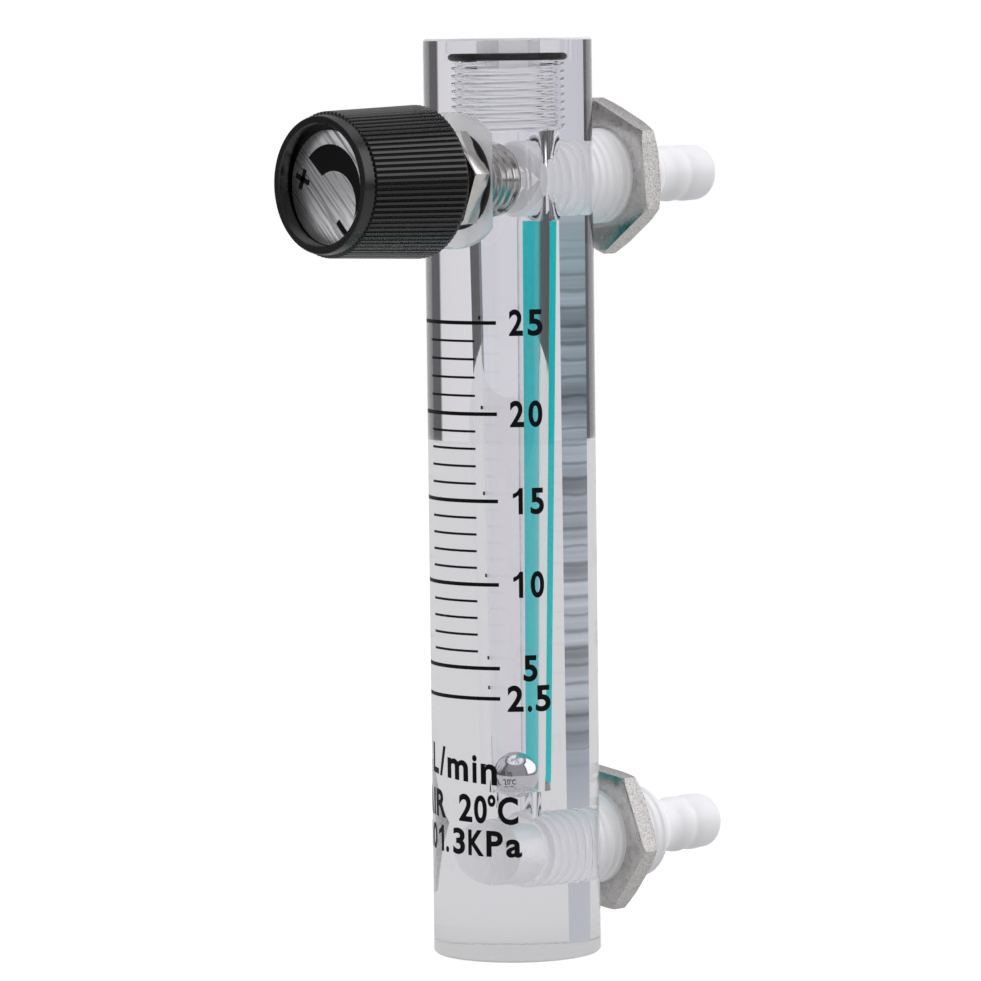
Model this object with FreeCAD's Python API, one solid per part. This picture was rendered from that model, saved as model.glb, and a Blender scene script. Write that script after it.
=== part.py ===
import FreeCAD, Part
import math
import os

# Rotameter: a clear rod with a tapered bore, a steel ball float and a needle valve.
# Millimetres. The tube axis is Z, with z = 0 on the base. The back flat with its two
# hose fittings faces +Y, and the valve knob faces -Y.

V = FreeCAD.Vector

# Clear rod
BODY_R = 11.0
BODY_H = 120.0
FLAT_DEPTH = 2.1            # how far the back flat is milled into the rod
SPOT_DEPTH = 2.1            # how far the round seat for the valve is milled in
SPOT_R = 8.85
EDGE_BREAK = 0.25           # small chamfer round both ends of the rod

# Ports, 88 mm apart on a rod of this height
INLET_Z = 13.7
OUTLET_BELOW_TOP = 18.3
THREAD_R = 5.0              # major radius of every port thread in the rod
TAP_DRILL_R = 4.5
THREAD_CLEARANCE = 0.05     # radial play of a male thread in its port
TAP_RUNOUT = 0.3            # thread left in a port past the end of what is screwed in
INLET_DRILL_R = 4.35
INLET_DRILL_PAST_AXIS = 3.5
MOUTH_R = 5.65              # recess for the seal at the mouth of each back port
MOUTH_DEPTH = 0.85
VALVE_TAP_DEPTH = 8.0

# Measuring bore and float
BALL_R = 3.0
FLOAT_CLEARANCE = 0.1       # radial play of the ball at the bottom of the taper
TAPER_TOP_R = 4.15
SEAT_ABOVE_INLET = 7.9
TAPER_BELOW_OUTLET = 5.4
ORIFICE_R = 2.25
BALL_SEAT_GAP = 0.02

# Plug that closes the bore at the top
PLUG_HEAD_R = 5.65
PLUG_HEAD_H = 1.9
PLUG_HEAD_CLEARANCE = 0.1
PLUG_SHANK_H = 10.0
PLUG_SOCKET_AF = 5.0
PLUG_SOCKET_DEPTH = 3.6
PLUG_BOTTOM_CHAMFER = 0.6

# Seals: radius of each round section
PLUG_SEAL_SECTION_R = 0.5
PORT_SEAL_SECTION_R = 0.42
STEM_SEAL_SECTION_R = 0.42
SEAL_SEAT_GAP = 0.02

# Hose fittings
STUB_LENGTH = 8.6           # threaded end inside the rod
STUB_CHAMFER = 0.5
STUB_UNDERCUT = 0.5         # depth of the groove next to the shoulder
SHANK_R = 6.3
SHANK_LENGTH = 13.4         # threaded shank behind the back flat
SHANK_CHAMFER = 0.4
CONE_LENGTH = 2.6
CONE_END_R = 3.9
NECK_R = 3.4
NECK_LENGTH = 2.4
BARB_R = 3.75
BARB_VALLEY_R = 3.48
FIRST_BARB_LENGTH = 2.9
SECOND_BARB_RISE = 1.7
SECOND_BARB_LENGTH = 2.0
TIP_R = 3.65
TIP_FILLET = 1.6
FITTING_BORE_R = 2.0

# Panel nuts
NUT_AF = 18.0
NUT_THICKNESS = 2.9
NUT_THREAD_CLEARANCE = 0.05
NUT_HOLE_CHAMFER = 0.5
NUT_CORNER_CHAMFER_DEG = 30.0
NUT_NEAR_CORNER_CUT = 0.5   # how much the corner radius loses on the side of the rod
NUT_FAR_CORNER_CUT = 1.1    # and on the side of the hose tail
INLET_NUT_GAP = 4.7         # back flat to the near face of each nut
OUTLET_NUT_GAP = 7.05
INLET_NUT_TURN_DEG = 52.8   # angle of one corner from +X towards +Z
OUTLET_NUT_TURN_DEG = 35.3

# Valve bonnet
HEX_AF = 12.0
HEX_THICKNESS = 2.5
HEX_TURN_DEG = 8.0
HEX_CORNER_CUT = 0.25       # small chamfer of the corners at the face of the hexagon
BONNET_REACH = 6.8          # threaded length inside the rod
BONNET_NOSE_CHAMFER = 0.7
BONNET_SEAL_THICKNESS = 0.8
BONNET_SEAL_WIDTH = 1.4
STEM_THREAD_R = 2.5
STEM_THREAD_LENGTH = 4.3    # threaded length inside the bonnet
PISTON_BORE_R = 3.2

# Needle stem
VALVE_CLOSING_TRAVEL = 1.5
VALVE_OPENING_TRAVEL = 1.5
STEM_R = 2.0
STEM_THREAD_CLEARANCE = 0.05
STEM_THREAD_SPARE = 0.3
PISTON_CLEARANCE = 0.1
PISTON_LENGTH = 2.2
PISTON_STOP_GAP = 0.05
SEAL_GROOVE_WIDTH = 1.0
SEAL_GROOVE_R = 2.3
SEAL_GROOVE_CLEARANCE = 0.03
NEEDLE_R = 2.2
NEEDLE_HALF_ANGLE_DEG = 20.0
NEEDLE_SEAT_GAP = 0.05
NEEDLE_TIP_R = 0.4

# Knob
KNOB_R = 9.9                # over the flutes at the back
KNOB_FRONT_R = 9.35         # over the flutes where they end, short of the front
KNOB_LENGTH = 17.0
KNOB_GAP = 3.7              # face of the bonnet to the back of the knob at rest
KNOB_RIM_R = 8.7
KNOB_RIM_BACK_R = 9.0
KNOB_RIM_LENGTH = 1.6       # smooth rim in front of the flutes
KNOB_BACK_CHAMFER = 0.35
KNOB_FRONT_LIP = 0.95
FLUTE_COUNT = 80
FLUTE_DEPTH = 0.32
FLUTE_LAND_SHARE = 0.45     # share of one pitch that stays at full radius
RECESS_DEPTH = 2.3
LABEL_THICKNESS = 0.5
LABEL_CLEARANCE = 0.4       # radial play of the label in its recess
LABEL_DROP = 0.35           # how far below the knob's axis the label is stuck on
KNOB_STEM_DEPTH = 12.5
KNOB_BORE_CLEARANCE = 0.02

# Grub screw that holds the knob on its stem
SCREW_R = 1.45
SCREW_HOLE_CLEARANCE = 0.05
SCREW_FROM_KNOB_BACK = 4.5
SCREW_SUNK = 1.0
SCREW_SOCKET_AF = 1.5
SCREW_SOCKET_DEPTH = 2.0
STEM_FLAT_DEPTH = 0.4
STEM_FLAT_LENGTH = 4.0
SCREW_TIP_GAP = 0.02

# Places worked out from the sizes above
FLAT_Y = BODY_R - FLAT_DEPTH
SPOT_Y = SPOT_DEPTH - BODY_R
OUTLET_Z = BODY_H - OUTLET_BELOW_TOP
SEAT_Z = INLET_Z + SEAT_ABOVE_INLET
TAPER_TOP_Z = OUTLET_Z - TAPER_BELOW_OUTLET
TAPER_BOTTOM_R = BALL_R + FLOAT_CLEARANCE
BALL_Z = SEAT_Z + math.sqrt(BALL_R ** 2 - ORIFICE_R ** 2) + BALL_SEAT_GAP
STUB_END_Y = FLAT_Y - STUB_LENGTH
MALE_THREAD_R = THREAD_R - THREAD_CLEARANCE
PLUG_SEAL_BED_Z = BODY_H - PLUG_HEAD_H - 2 * PLUG_SEAL_SECTION_R
PLUG_END_Z = BODY_H - PLUG_HEAD_H - PLUG_SHANK_H
HEX_BACK_Y = SPOT_Y - BONNET_SEAL_THICKNESS
HEX_FRONT_Y = HEX_BACK_Y - HEX_THICKNESS
BONNET_END_Y = SPOT_Y + BONNET_REACH
PISTON_SHOULDER_Y = HEX_FRONT_Y + STEM_THREAD_LENGTH
PISTON_BACK_Y = PISTON_SHOULDER_Y + VALVE_OPENING_TRAVEL + PISTON_STOP_GAP
PISTON_FRONT_Y = PISTON_BACK_Y + PISTON_LENGTH
STEM_SEAL_Y = (PISTON_BACK_Y + PISTON_FRONT_Y) / 2
KNOB_BACK_Y = HEX_FRONT_Y - KNOB_GAP
KNOB_FRONT_Y = KNOB_BACK_Y - KNOB_LENGTH
STEM_END_Y = KNOB_BACK_Y - KNOB_STEM_DEPTH
RIM_END_Y = KNOB_FRONT_Y + KNOB_RIM_LENGTH
RECESS_R = KNOB_RIM_R - KNOB_FRONT_LIP
RECESS_FLOOR_Y = KNOB_FRONT_Y + RECESS_DEPTH
SCREW_Y = KNOB_BACK_Y - SCREW_FROM_KNOB_BACK

X_AXIS = V(1, 0, 0)
Y_AXIS = V(0, 1, 0)
Z_AXIS = V(0, 0, 1)


def rod_y(radius, y_low, y_high, z):
    """Round rod along Y at height z."""
    return Part.makeCylinder(radius, y_high - y_low, V(0, y_low, z), Y_AXIS)


def rod_z(radius, z_low, z_high):
    """Round rod on the tube axis."""
    return Part.makeCylinder(radius, z_high - z_low, V(0, 0, z_low), Z_AXIS)


def hex_prism(across_flats, low, high, centre, direction, turn_deg):
    """Six-sided prism along a direction, with one corner turned from the first cross axis."""
    corner_r = across_flats / math.sqrt(3)
    points = []
    for k in range(7):
        angle = math.radians(turn_deg + 60 * k)
        points.append(V(corner_r * math.cos(angle), corner_r * math.sin(angle), 0))
    prism = Part.Face(Part.makePolygon(points)).extrude(V(0, 0, high - low))
    if direction == Y_AXIS:
        # local x stays +X, local y becomes +Z, so the extrusion runs towards -Y
        prism.rotate(V(0, 0, 0), X_AXIS, 90)
        prism.translate(centre + V(0, high, 0))
    elif direction == X_AXIS:
        prism.rotate(V(0, 0, 0), Y_AXIS, 90)
        prism.translate(centre + V(low, 0, 0))
    else:
        prism.translate(centre + V(0, 0, low))
    return prism


def turned_y(outline, z):
    """Solid of revolution about the Y axis at height z.

    The outline is a list of (y, r) corners. An entry with four numbers is an arc
    that ends at its last pair and passes through its first."""
    edges = []
    here = outline[0]
    for entry in outline[1:] + [outline[0]]:
        start = V(0, here[0], z + here[1])
        end = V(0, entry[-2], z + entry[-1])
        if len(entry) == 4:
            middle = V(0, entry[0], z + entry[1])
            edges.append(Part.Arc(start, middle, end).toShape())
        elif start.distanceToPoint(end) > 1e-6:
            edges.append(Part.LineSegment(start, end).toShape())
        here = entry[-2:]
    face = Part.Face(Part.Wire(edges))
    return face.revolve(V(0, 0, z), Y_AXIS, 360)


def ring_y(middle_r, section_r, y, z):
    """Rubber ring with a round section, its axis along Y."""
    return Part.makeTorus(middle_r, section_r, V(0, y, z), Y_AXIS)


def bored_rod():
    """The clear rod: back flat, valve seat, tapered bore and cross-drilled ports."""
    rod = Part.makeCylinder(BODY_R, BODY_H)
    rims = [edge for edge in rod.Edges if len(edge.Vertexes) == 1]
    rod = rod.makeChamfer(EDGE_BREAK, rims)
    flat = Part.makeBox(2 * BODY_R, FLAT_DEPTH + 1, BODY_H, V(-BODY_R, FLAT_Y, 0))
    cuts = [flat, rod_y(SPOT_R, -BODY_R - 1, SPOT_Y, OUTLET_Z)]
    cuts += measuring_bore_cuts() + inlet_cuts() + outlet_and_valve_cuts()
    return rod.cut(cuts)


def measuring_bore_cuts():
    """Orifice, tapered bore, drilled top and the seat of the plug, all on the tube axis."""
    taper = Part.makeCone(TAPER_BOTTOM_R, TAPER_TOP_R, TAPER_TOP_Z - SEAT_Z, V(0, 0, SEAT_Z))
    return [
        rod_z(ORIFICE_R, INLET_Z, SEAT_Z),
        taper,
        rod_z(TAP_DRILL_R, TAPER_TOP_Z, BODY_H),
        rod_z(THREAD_R, PLUG_END_Z - TAP_RUNOUT, BODY_H),
        rod_z(PLUG_HEAD_R + PLUG_HEAD_CLEARANCE, PLUG_SEAL_BED_Z, BODY_H),
    ]


def port_mouth(z):
    """Recess for the seal at the mouth of a back port."""
    return rod_y(MOUTH_R, FLAT_Y - MOUTH_DEPTH, FLAT_Y, z)


def inlet_cuts():
    """Lower port: tapped from the flat, then a smooth drilling past the tube axis."""
    return [
        rod_y(THREAD_R, STUB_END_Y - TAP_RUNOUT, FLAT_Y, INLET_Z),
        rod_y(INLET_DRILL_R, -INLET_DRILL_PAST_AXIS, STUB_END_Y, INLET_Z),
        port_mouth(INLET_Z),
    ]


def outlet_and_valve_cuts():
    """Upper port: drilled right through and tapped from both sides."""
    return [
        rod_y(TAP_DRILL_R, SPOT_Y, FLAT_Y, OUTLET_Z),
        rod_y(THREAD_R, STUB_END_Y - TAP_RUNOUT, FLAT_Y, OUTLET_Z),
        rod_y(THREAD_R, SPOT_Y, SPOT_Y + VALVE_TAP_DEPTH, OUTLET_Z),
        port_mouth(OUTLET_Z),
    ]


def top_plug():
    """Screwed plug with a flat head, an undercut for its seal and a hexagon socket."""
    head_z = BODY_H - PLUG_HEAD_H
    head = rod_z(PLUG_HEAD_R, head_z, BODY_H)
    undercut = rod_z(TAP_DRILL_R, PLUG_SEAL_BED_Z, head_z)
    taper_z = PLUG_END_Z + PLUG_BOTTOM_CHAMFER
    shank = rod_z(MALE_THREAD_R, taper_z, PLUG_SEAL_BED_Z)
    lead = Part.makeCone(
        MALE_THREAD_R - PLUG_BOTTOM_CHAMFER, MALE_THREAD_R, PLUG_BOTTOM_CHAMFER, V(0, 0, PLUG_END_Z)
    )
    socket = hex_prism(
        PLUG_SOCKET_AF, BODY_H - PLUG_SOCKET_DEPTH, BODY_H, V(0, 0, 0), Z_AXIS, 0
    )
    return head.fuse([undercut, shank, lead]).removeSplitter().cut(socket)


def plug_seal():
    """Rubber ring between the head of the plug and its seat."""
    middle_r = TAP_DRILL_R + PLUG_SEAL_SECTION_R + SEAL_SEAT_GAP
    return Part.makeTorus(
        middle_r, PLUG_SEAL_SECTION_R - SEAL_SEAT_GAP, V(0, 0, PLUG_SEAL_BED_Z + PLUG_SEAL_SECTION_R)
    )


def hose_fitting(z):
    """Moulded hose tail: threaded stub, shouldered shank, cone and two soft barbs."""
    shank_end = FLAT_Y + SHANK_LENGTH
    cone_end = shank_end + CONE_LENGTH
    neck_start = cone_end + (CONE_END_R - NECK_R) * 2
    neck_end = cone_end + NECK_LENGTH
    valley = neck_end + FIRST_BARB_LENGTH
    crest = valley + SECOND_BARB_RISE
    tip = crest + SECOND_BARB_LENGTH + TIP_FILLET
    diagonal = TIP_FILLET * math.sqrt(0.5)
    outline = [
        (STUB_END_Y, FITTING_BORE_R),
        (STUB_END_Y, MALE_THREAD_R - STUB_CHAMFER),
        (STUB_END_Y + STUB_CHAMFER, MALE_THREAD_R),
        (FLAT_Y - MOUTH_DEPTH, MALE_THREAD_R),
        (FLAT_Y - MOUTH_DEPTH, MALE_THREAD_R - STUB_UNDERCUT),
        (FLAT_Y, MALE_THREAD_R - STUB_UNDERCUT),
        (FLAT_Y, SHANK_R),
        (shank_end - SHANK_CHAMFER, SHANK_R),
        (shank_end, SHANK_R - SHANK_CHAMFER),
        (cone_end, CONE_END_R),
        (neck_start, NECK_R),
        (neck_end, NECK_R),
        ((neck_end + valley) / 2, BARB_R, valley, BARB_VALLEY_R),
        ((valley * 0.6 + crest * 0.4), BARB_R - 0.06, crest, BARB_R),
        (tip - TIP_FILLET, TIP_R),
        (tip - TIP_FILLET + diagonal, TIP_R - TIP_FILLET + diagonal, tip, TIP_R - TIP_FILLET),
        (tip, FITTING_BORE_R),
    ]
    return turned_y(outline, z)


def port_seal(z):
    """Rubber ring in the mouth of a back port, under the shoulder of the fitting."""
    middle_r = MALE_THREAD_R - STUB_UNDERCUT + PORT_SEAL_SECTION_R + SEAL_SEAT_GAP
    return ring_y(middle_r, PORT_SEAL_SECTION_R, FLAT_Y - MOUTH_DEPTH / 2, z)


def panel_nut(near_face_gap, turn_deg, z):
    """Thin hexagon nut, its corners chamfered on both sides, less on the side of the rod."""
    low = FLAT_Y + near_face_gap
    high = low + NUT_THICKNESS
    corner_r = NUT_AF / math.sqrt(3)
    slope = math.tan(math.radians(NUT_CORNER_CHAMFER_DEG))
    past = corner_r + 1
    far_drop = (NUT_FAR_CORNER_CUT + 1) * slope
    near_drop = (NUT_NEAR_CORNER_CUT + 1) * slope
    prism = hex_prism(NUT_AF, low, high, V(0, 0, z), Y_AXIS, turn_deg)
    hole_r = SHANK_R + NUT_THREAD_CLEARANCE
    envelope = turned_y(
        [
            (low, hole_r + NUT_HOLE_CHAMFER),
            (low, corner_r - NUT_NEAR_CORNER_CUT),
            (low + near_drop, past),
            (high - far_drop, past),
            (high, corner_r - NUT_FAR_CORNER_CUT),
            (high, hole_r + NUT_HOLE_CHAMFER),
            (high - NUT_HOLE_CHAMFER, hole_r),
            (low + NUT_HOLE_CHAMFER, hole_r),
        ],
        z,
    )
    return prism.common(envelope)


def valve_bonnet():
    """Hexagon-headed insert with a threaded neck and a smooth bore for the stem's piston."""
    body = turned_y(
        [
            (HEX_FRONT_Y, STEM_THREAD_R),
            (HEX_FRONT_Y, MALE_THREAD_R),
            (BONNET_END_Y - BONNET_NOSE_CHAMFER, MALE_THREAD_R),
            (BONNET_END_Y, MALE_THREAD_R - BONNET_NOSE_CHAMFER),
            (BONNET_END_Y, PISTON_BORE_R),
            (PISTON_SHOULDER_Y, PISTON_BORE_R),
            (PISTON_SHOULDER_Y, STEM_THREAD_R),
        ],
        OUTLET_Z,
    )
    corner_r = HEX_AF / math.sqrt(3)
    head = hex_prism(HEX_AF, HEX_FRONT_Y, HEX_BACK_Y, V(0, 0, OUTLET_Z), Y_AXIS, HEX_TURN_DEG)
    envelope = turned_y(
        [
            (HEX_FRONT_Y, STEM_THREAD_R),
            (HEX_FRONT_Y, corner_r - HEX_CORNER_CUT),
            (HEX_FRONT_Y + HEX_CORNER_CUT, corner_r),
            (HEX_BACK_Y, corner_r),
            (HEX_BACK_Y, STEM_THREAD_R),
        ],
        OUTLET_Z,
    )
    return head.common(envelope).fuse(body).removeSplitter()


def bonnet_seal():
    """Rubber ring squeezed to an oval between the hexagon and the spot face."""
    middle_r = THREAD_R + BONNET_SEAL_WIDTH / 2
    oval = Part.Ellipse(
        V(0, SPOT_Y - BONNET_SEAL_THICKNESS / 2, OUTLET_Z + middle_r),
        BONNET_SEAL_WIDTH / 2,
        BONNET_SEAL_THICKNESS / 2,
    ).toShape()
    centre = V(0, SPOT_Y - BONNET_SEAL_THICKNESS / 2, OUTLET_Z + middle_r)
    # the ellipse is drawn in the XY plane with its long axis on X: stand it in the YZ plane
    oval.rotate(centre, Y_AXIS, -90)
    face = Part.Face(Part.Wire([oval]))
    return face.revolve(V(0, 0, OUTLET_Z), Y_AXIS, 360)


def needle_stem():
    """Stem with a plain end for the knob, a fine thread, a sealed piston and a needle."""
    piston_r = PISTON_BORE_R - PISTON_CLEARANCE
    thread_r = STEM_THREAD_R - STEM_THREAD_CLEARANCE
    thread_start = HEX_FRONT_Y - VALVE_CLOSING_TRAVEL - STEM_THREAD_SPARE
    slope = math.tan(math.radians(NEEDLE_HALF_ANGLE_DEG))
    seat_touch_y = STUB_END_Y - VALVE_CLOSING_TRAVEL - NEEDLE_SEAT_GAP
    cone_start = seat_touch_y - (NEEDLE_R - FITTING_BORE_R) / slope
    cone_end = seat_touch_y + (FITTING_BORE_R - NEEDLE_TIP_R) / slope
    outline = [
        (STEM_END_Y, 0),
        (STEM_END_Y, STEM_R),
        (thread_start, STEM_R),
        (thread_start, thread_r),
        (PISTON_BACK_Y, thread_r),
        (PISTON_BACK_Y, piston_r),
        (STEM_SEAL_Y - SEAL_GROOVE_WIDTH / 2, piston_r),
        (STEM_SEAL_Y - SEAL_GROOVE_WIDTH / 2, SEAL_GROOVE_R),
        (STEM_SEAL_Y + SEAL_GROOVE_WIDTH / 2, SEAL_GROOVE_R),
        (STEM_SEAL_Y + SEAL_GROOVE_WIDTH / 2, piston_r),
        (PISTON_FRONT_Y, piston_r),
        (PISTON_FRONT_Y, NEEDLE_R),
        (cone_start, NEEDLE_R),
        (cone_end, NEEDLE_TIP_R),
        (cone_end, 0),
    ]
    stem = turned_y(outline, OUTLET_Z)
    flat = Part.makeBox(
        STEM_FLAT_DEPTH,
        STEM_FLAT_LENGTH,
        2 * STEM_R,
        V(-STEM_R, SCREW_Y - STEM_FLAT_LENGTH / 2, OUTLET_Z - STEM_R),
    )
    return stem.cut(flat)


def stem_seal():
    """Rubber ring in the groove of the piston."""
    middle_r = SEAL_GROOVE_R + SEAL_GROOVE_CLEARANCE + STEM_SEAL_SECTION_R
    return ring_y(middle_r, STEM_SEAL_SECTION_R, STEM_SEAL_Y, OUTLET_Z)


def flute_outline(land_r, y):
    """Closed outline of the flutes round the knob at one place along it."""
    pitch = 2 * math.pi / FLUTE_COUNT
    half_land = pitch * FLUTE_LAND_SHARE / 2
    points = []
    for k in range(FLUTE_COUNT):
        for angle, radius in (
            (k * pitch - half_land, land_r),
            (k * pitch + half_land, land_r),
            ((k + 0.5) * pitch, land_r - FLUTE_DEPTH),
        ):
            points.append(V(radius * math.cos(angle), y, OUTLET_Z + radius * math.sin(angle)))
    points.append(points[0])
    return Part.makePolygon(points)


def fluted_bar():
    """Slightly tapered bar with straight flutes all round, from the smooth rim to the back."""
    ends = [flute_outline(KNOB_FRONT_R, RIM_END_Y), flute_outline(KNOB_R, KNOB_BACK_Y)]
    bar = Part.makeLoft(ends, True, True)
    envelope = turned_y(
        [
            (RIM_END_Y, 0),
            (RIM_END_Y, KNOB_R + 1),
            (KNOB_BACK_Y - KNOB_BACK_CHAMFER, KNOB_R),
            (KNOB_BACK_Y, KNOB_R - KNOB_BACK_CHAMFER),
            (KNOB_BACK_Y, 0),
        ],
        OUTLET_Z,
    )
    return bar.common(envelope)


def knob():
    """Fluted knob with a smooth rim, a recess for its label and a blind bore for the stem."""
    rim = turned_y(
        [
            (KNOB_FRONT_Y, 0),
            (KNOB_FRONT_Y, KNOB_RIM_R),
            (RIM_END_Y, KNOB_RIM_BACK_R),
            (RIM_END_Y, 0),
        ],
        OUTLET_Z,
    )
    bore_r = STEM_R + KNOB_BORE_CLEARANCE
    hole_r = SCREW_R + SCREW_HOLE_CLEARANCE
    cuts = [
        rod_y(RECESS_R, KNOB_FRONT_Y, RECESS_FLOOR_Y, OUTLET_Z),
        rod_y(bore_r, STEM_END_Y, KNOB_BACK_Y, OUTLET_Z),
        Part.makeCylinder(hole_r, KNOB_R + 1, V(0, SCREW_Y, OUTLET_Z), V(-1, 0, 0)),
    ]
    return fluted_bar().fuse(rim).cut(cuts)


def knob_label():
    """Thin disc in the recess of the knob."""
    return rod_y(
        RECESS_R - LABEL_CLEARANCE,
        RECESS_FLOOR_Y - LABEL_THICKNESS,
        RECESS_FLOOR_Y,
        OUTLET_Z - LABEL_DROP,
    )


def knob_set_screw():
    """Grub screw from the -X side, its tip on the flat of the stem."""
    tip_x = -(STEM_R - STEM_FLAT_DEPTH) - SCREW_TIP_GAP
    head_x = -KNOB_R + SCREW_SUNK
    screw = Part.makeCylinder(SCREW_R, tip_x - head_x, V(head_x, SCREW_Y, OUTLET_Z), X_AXIS)
    socket = hex_prism(
        SCREW_SOCKET_AF, head_x, head_x + SCREW_SOCKET_DEPTH, V(0, SCREW_Y, OUTLET_Z), X_AXIS, 0
    )
    return screw.cut(socket)


def float_ball():
    """Steel ball at rest on the edge of the orifice."""
    return Part.makeSphere(BALL_R, V(0, 0, BALL_Z))


def all_nodes():
    """Every node of the part by its name."""
    return {
        "body": bored_rod(),
        "top_plug": top_plug(),
        "plug_o_ring": plug_seal(),
        "float_ball": float_ball(),
        "inlet_fitting": hose_fitting(INLET_Z),
        "outlet_fitting": hose_fitting(OUTLET_Z),
        "inlet_o_ring": port_seal(INLET_Z),
        "outlet_o_ring": port_seal(OUTLET_Z),
        "inlet_nut": panel_nut(INLET_NUT_GAP, INLET_NUT_TURN_DEG, INLET_Z),
        "outlet_nut": panel_nut(OUTLET_NUT_GAP, OUTLET_NUT_TURN_DEG, OUTLET_Z),
        "valve_bonnet": valve_bonnet(),
        "bonnet_o_ring": bonnet_seal(),
        "needle_stem": needle_stem(),
        "stem_o_ring": stem_seal(),
        "knob": knob(),
        "knob_label": knob_label(),
        "knob_set_screw": knob_set_screw(),
    }


def main():
    os.makedirs("parts", exist_ok=True)
    for name, shape in all_nodes().items():
        shape.exportStep("parts/" + name + ".step")


main()
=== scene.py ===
import math

import bmesh
import bpy
from bpy.props import FloatProperty, FloatVectorProperty, IntProperty, PointerProperty
from mathutils import Matrix, Vector


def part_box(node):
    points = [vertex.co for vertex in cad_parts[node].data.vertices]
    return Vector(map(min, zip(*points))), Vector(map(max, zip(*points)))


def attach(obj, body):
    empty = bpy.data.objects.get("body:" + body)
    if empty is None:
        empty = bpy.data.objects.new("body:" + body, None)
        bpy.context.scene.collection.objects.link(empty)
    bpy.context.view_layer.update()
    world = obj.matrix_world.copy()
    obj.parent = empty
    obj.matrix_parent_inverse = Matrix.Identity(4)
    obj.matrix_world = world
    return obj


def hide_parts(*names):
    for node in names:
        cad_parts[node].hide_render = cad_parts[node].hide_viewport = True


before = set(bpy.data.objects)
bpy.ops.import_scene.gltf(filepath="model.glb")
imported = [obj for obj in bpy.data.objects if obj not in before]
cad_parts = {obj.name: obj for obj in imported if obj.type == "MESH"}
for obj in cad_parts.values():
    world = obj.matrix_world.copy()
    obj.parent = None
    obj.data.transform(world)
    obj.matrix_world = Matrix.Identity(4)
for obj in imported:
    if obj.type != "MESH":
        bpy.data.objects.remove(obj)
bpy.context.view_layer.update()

# Rotameter: a clear rod with a tapered bore, a steel ball, a needle valve and two hose
# tails. Shapes are worked out in millimetres and become metres when a piece is placed.
# The tube axis is Z, the hose tails leave towards +Y and the knob faces -Y.

bl_info = {
    "name": "Rotameter",
    "version": (1, 0, 0),
    "blender": (4, 5, 0),
    "location": "3D View > Sidebar > Rotameter",
    "description": "Builds a clear panel flow meter with its scale, valve and hose tails",
    "category": "Add Mesh",
}

MM = 0.001

# How far a cutter runs past a face, how far pieces that merge overlap, the distance within
# which points are one, and that within which a plane counts as touching a point
PAST = 1.0
LAP = 0.5
WELD = 0.0005
TOUCH = 0.0001

# Rod and its bores
ROD_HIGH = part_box("body")[1] / MM
ROD_R = ROD_HIGH.x
ROD_H = ROD_HIGH.z
FLAT_Y = ROD_HIGH.y
ROD_EDGE = 0.25
ROD_SEGMENTS = 288
SPOT_R = 8.85
SPOT_Y = -8.9
BORE_SEGMENTS = 96
OUTLET_Z = 101.7
INLET_Z = 13.7
SEAT_Z = 21.6
ORIFICE_R = 2.25
TAPER_LOW_R = 3.1
TAPER_HIGH_R = 4.15
TAPER_TOP_Z = 96.3
DRILL_R = 4.5
THREAD_R = 5.0
THREAD_ROOT_R = 4.46
THREAD_PITCH = 1.0
THREAD_STEPS = 72
VALVE_TAP_END_Y = -0.9
BACK_TAP_END_Y = 0.0
INLET_DRILL_R = 4.35
INLET_DRILL_END_Y = -3.5
MOUTH_R = 5.65
MOUTH_Y = FLAT_Y - 0.85
PLUG_THREAD_LOW_Z = 107.8
PLUG_SEAL_Z = 117.1
PLUG_SEAL_BED_R = 5.75
PLUG_NECK_R = DRILL_R - 0.1

# Male threads
MALE_R = 4.95
MALE_ROOT_R = 4.42
PLUG_HEAD_R = 5.65
PLUG_HEAD_Z = 118.1
PLUG_END_Z = 108.1
PLUG_SOCKET_AF = 5.0
PLUG_SOCKET_DEPTH = 3.6
PLUG_EDGE = 0.2

# Hose tails
STUB_END_Y = 0.3
STUB_CHAMFER = 0.5
SHANK_R = 6.3
SHANK_ROOT_R = 6.02
SHANK_PITCH = 1.337
SHANK_END_Y = 22.3
SHANK_CHAMFER = 0.4
SHANK_END_R = SHANK_R - SHANK_CHAMFER
CONE_END_Y = 24.9
CONE_END_R = 3.9
CONE_FILLET = 0.85
NECK_R = 3.4
NECK_END_Y = 27.3
BARB_VALLEY_Y = 30.2
BARB_VALLEY_R = 3.48
BARB_CREST_R = 3.75
SECOND_CREST_Y = 31.9
TIP_Y = 35.5
TIP_R = 3.65
TIP_ROUND = 1.6
HOSE_BORE_R = 2.0

# Valve
HEX_AF = 12.0
HEX_BACK_Y = -9.7
HEX_FRONT_Y = -12.2
HEX_TURN = math.radians(8.0)
HEX_CORNER_CUT = 0.25
BONNET_END_Y = -2.1
BONNET_NOSE = 0.7
STEM_BORE_R = 2.5
PISTON_BORE_R = 3.2
PISTON_SHOULDER_Y = -7.9

# Knob
KNOB_R = 9.9
KNOB_BACK_Y = -15.9
KNOB_LANDS_FRONT_R = 9.35
KNOB_RIM_END_Y = -31.3
KNOB_RIM_BACK_R = 9.0
KNOB_FRONT_Y = -32.9
KNOB_RIM_R = 8.7
KNOB_BACK_CHAMFER = 0.35
KNOB_EDGE = 0.12
KNOB_RECESS_R = 7.75
KNOB_RECESS_CHAMFER = 0.15
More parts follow.
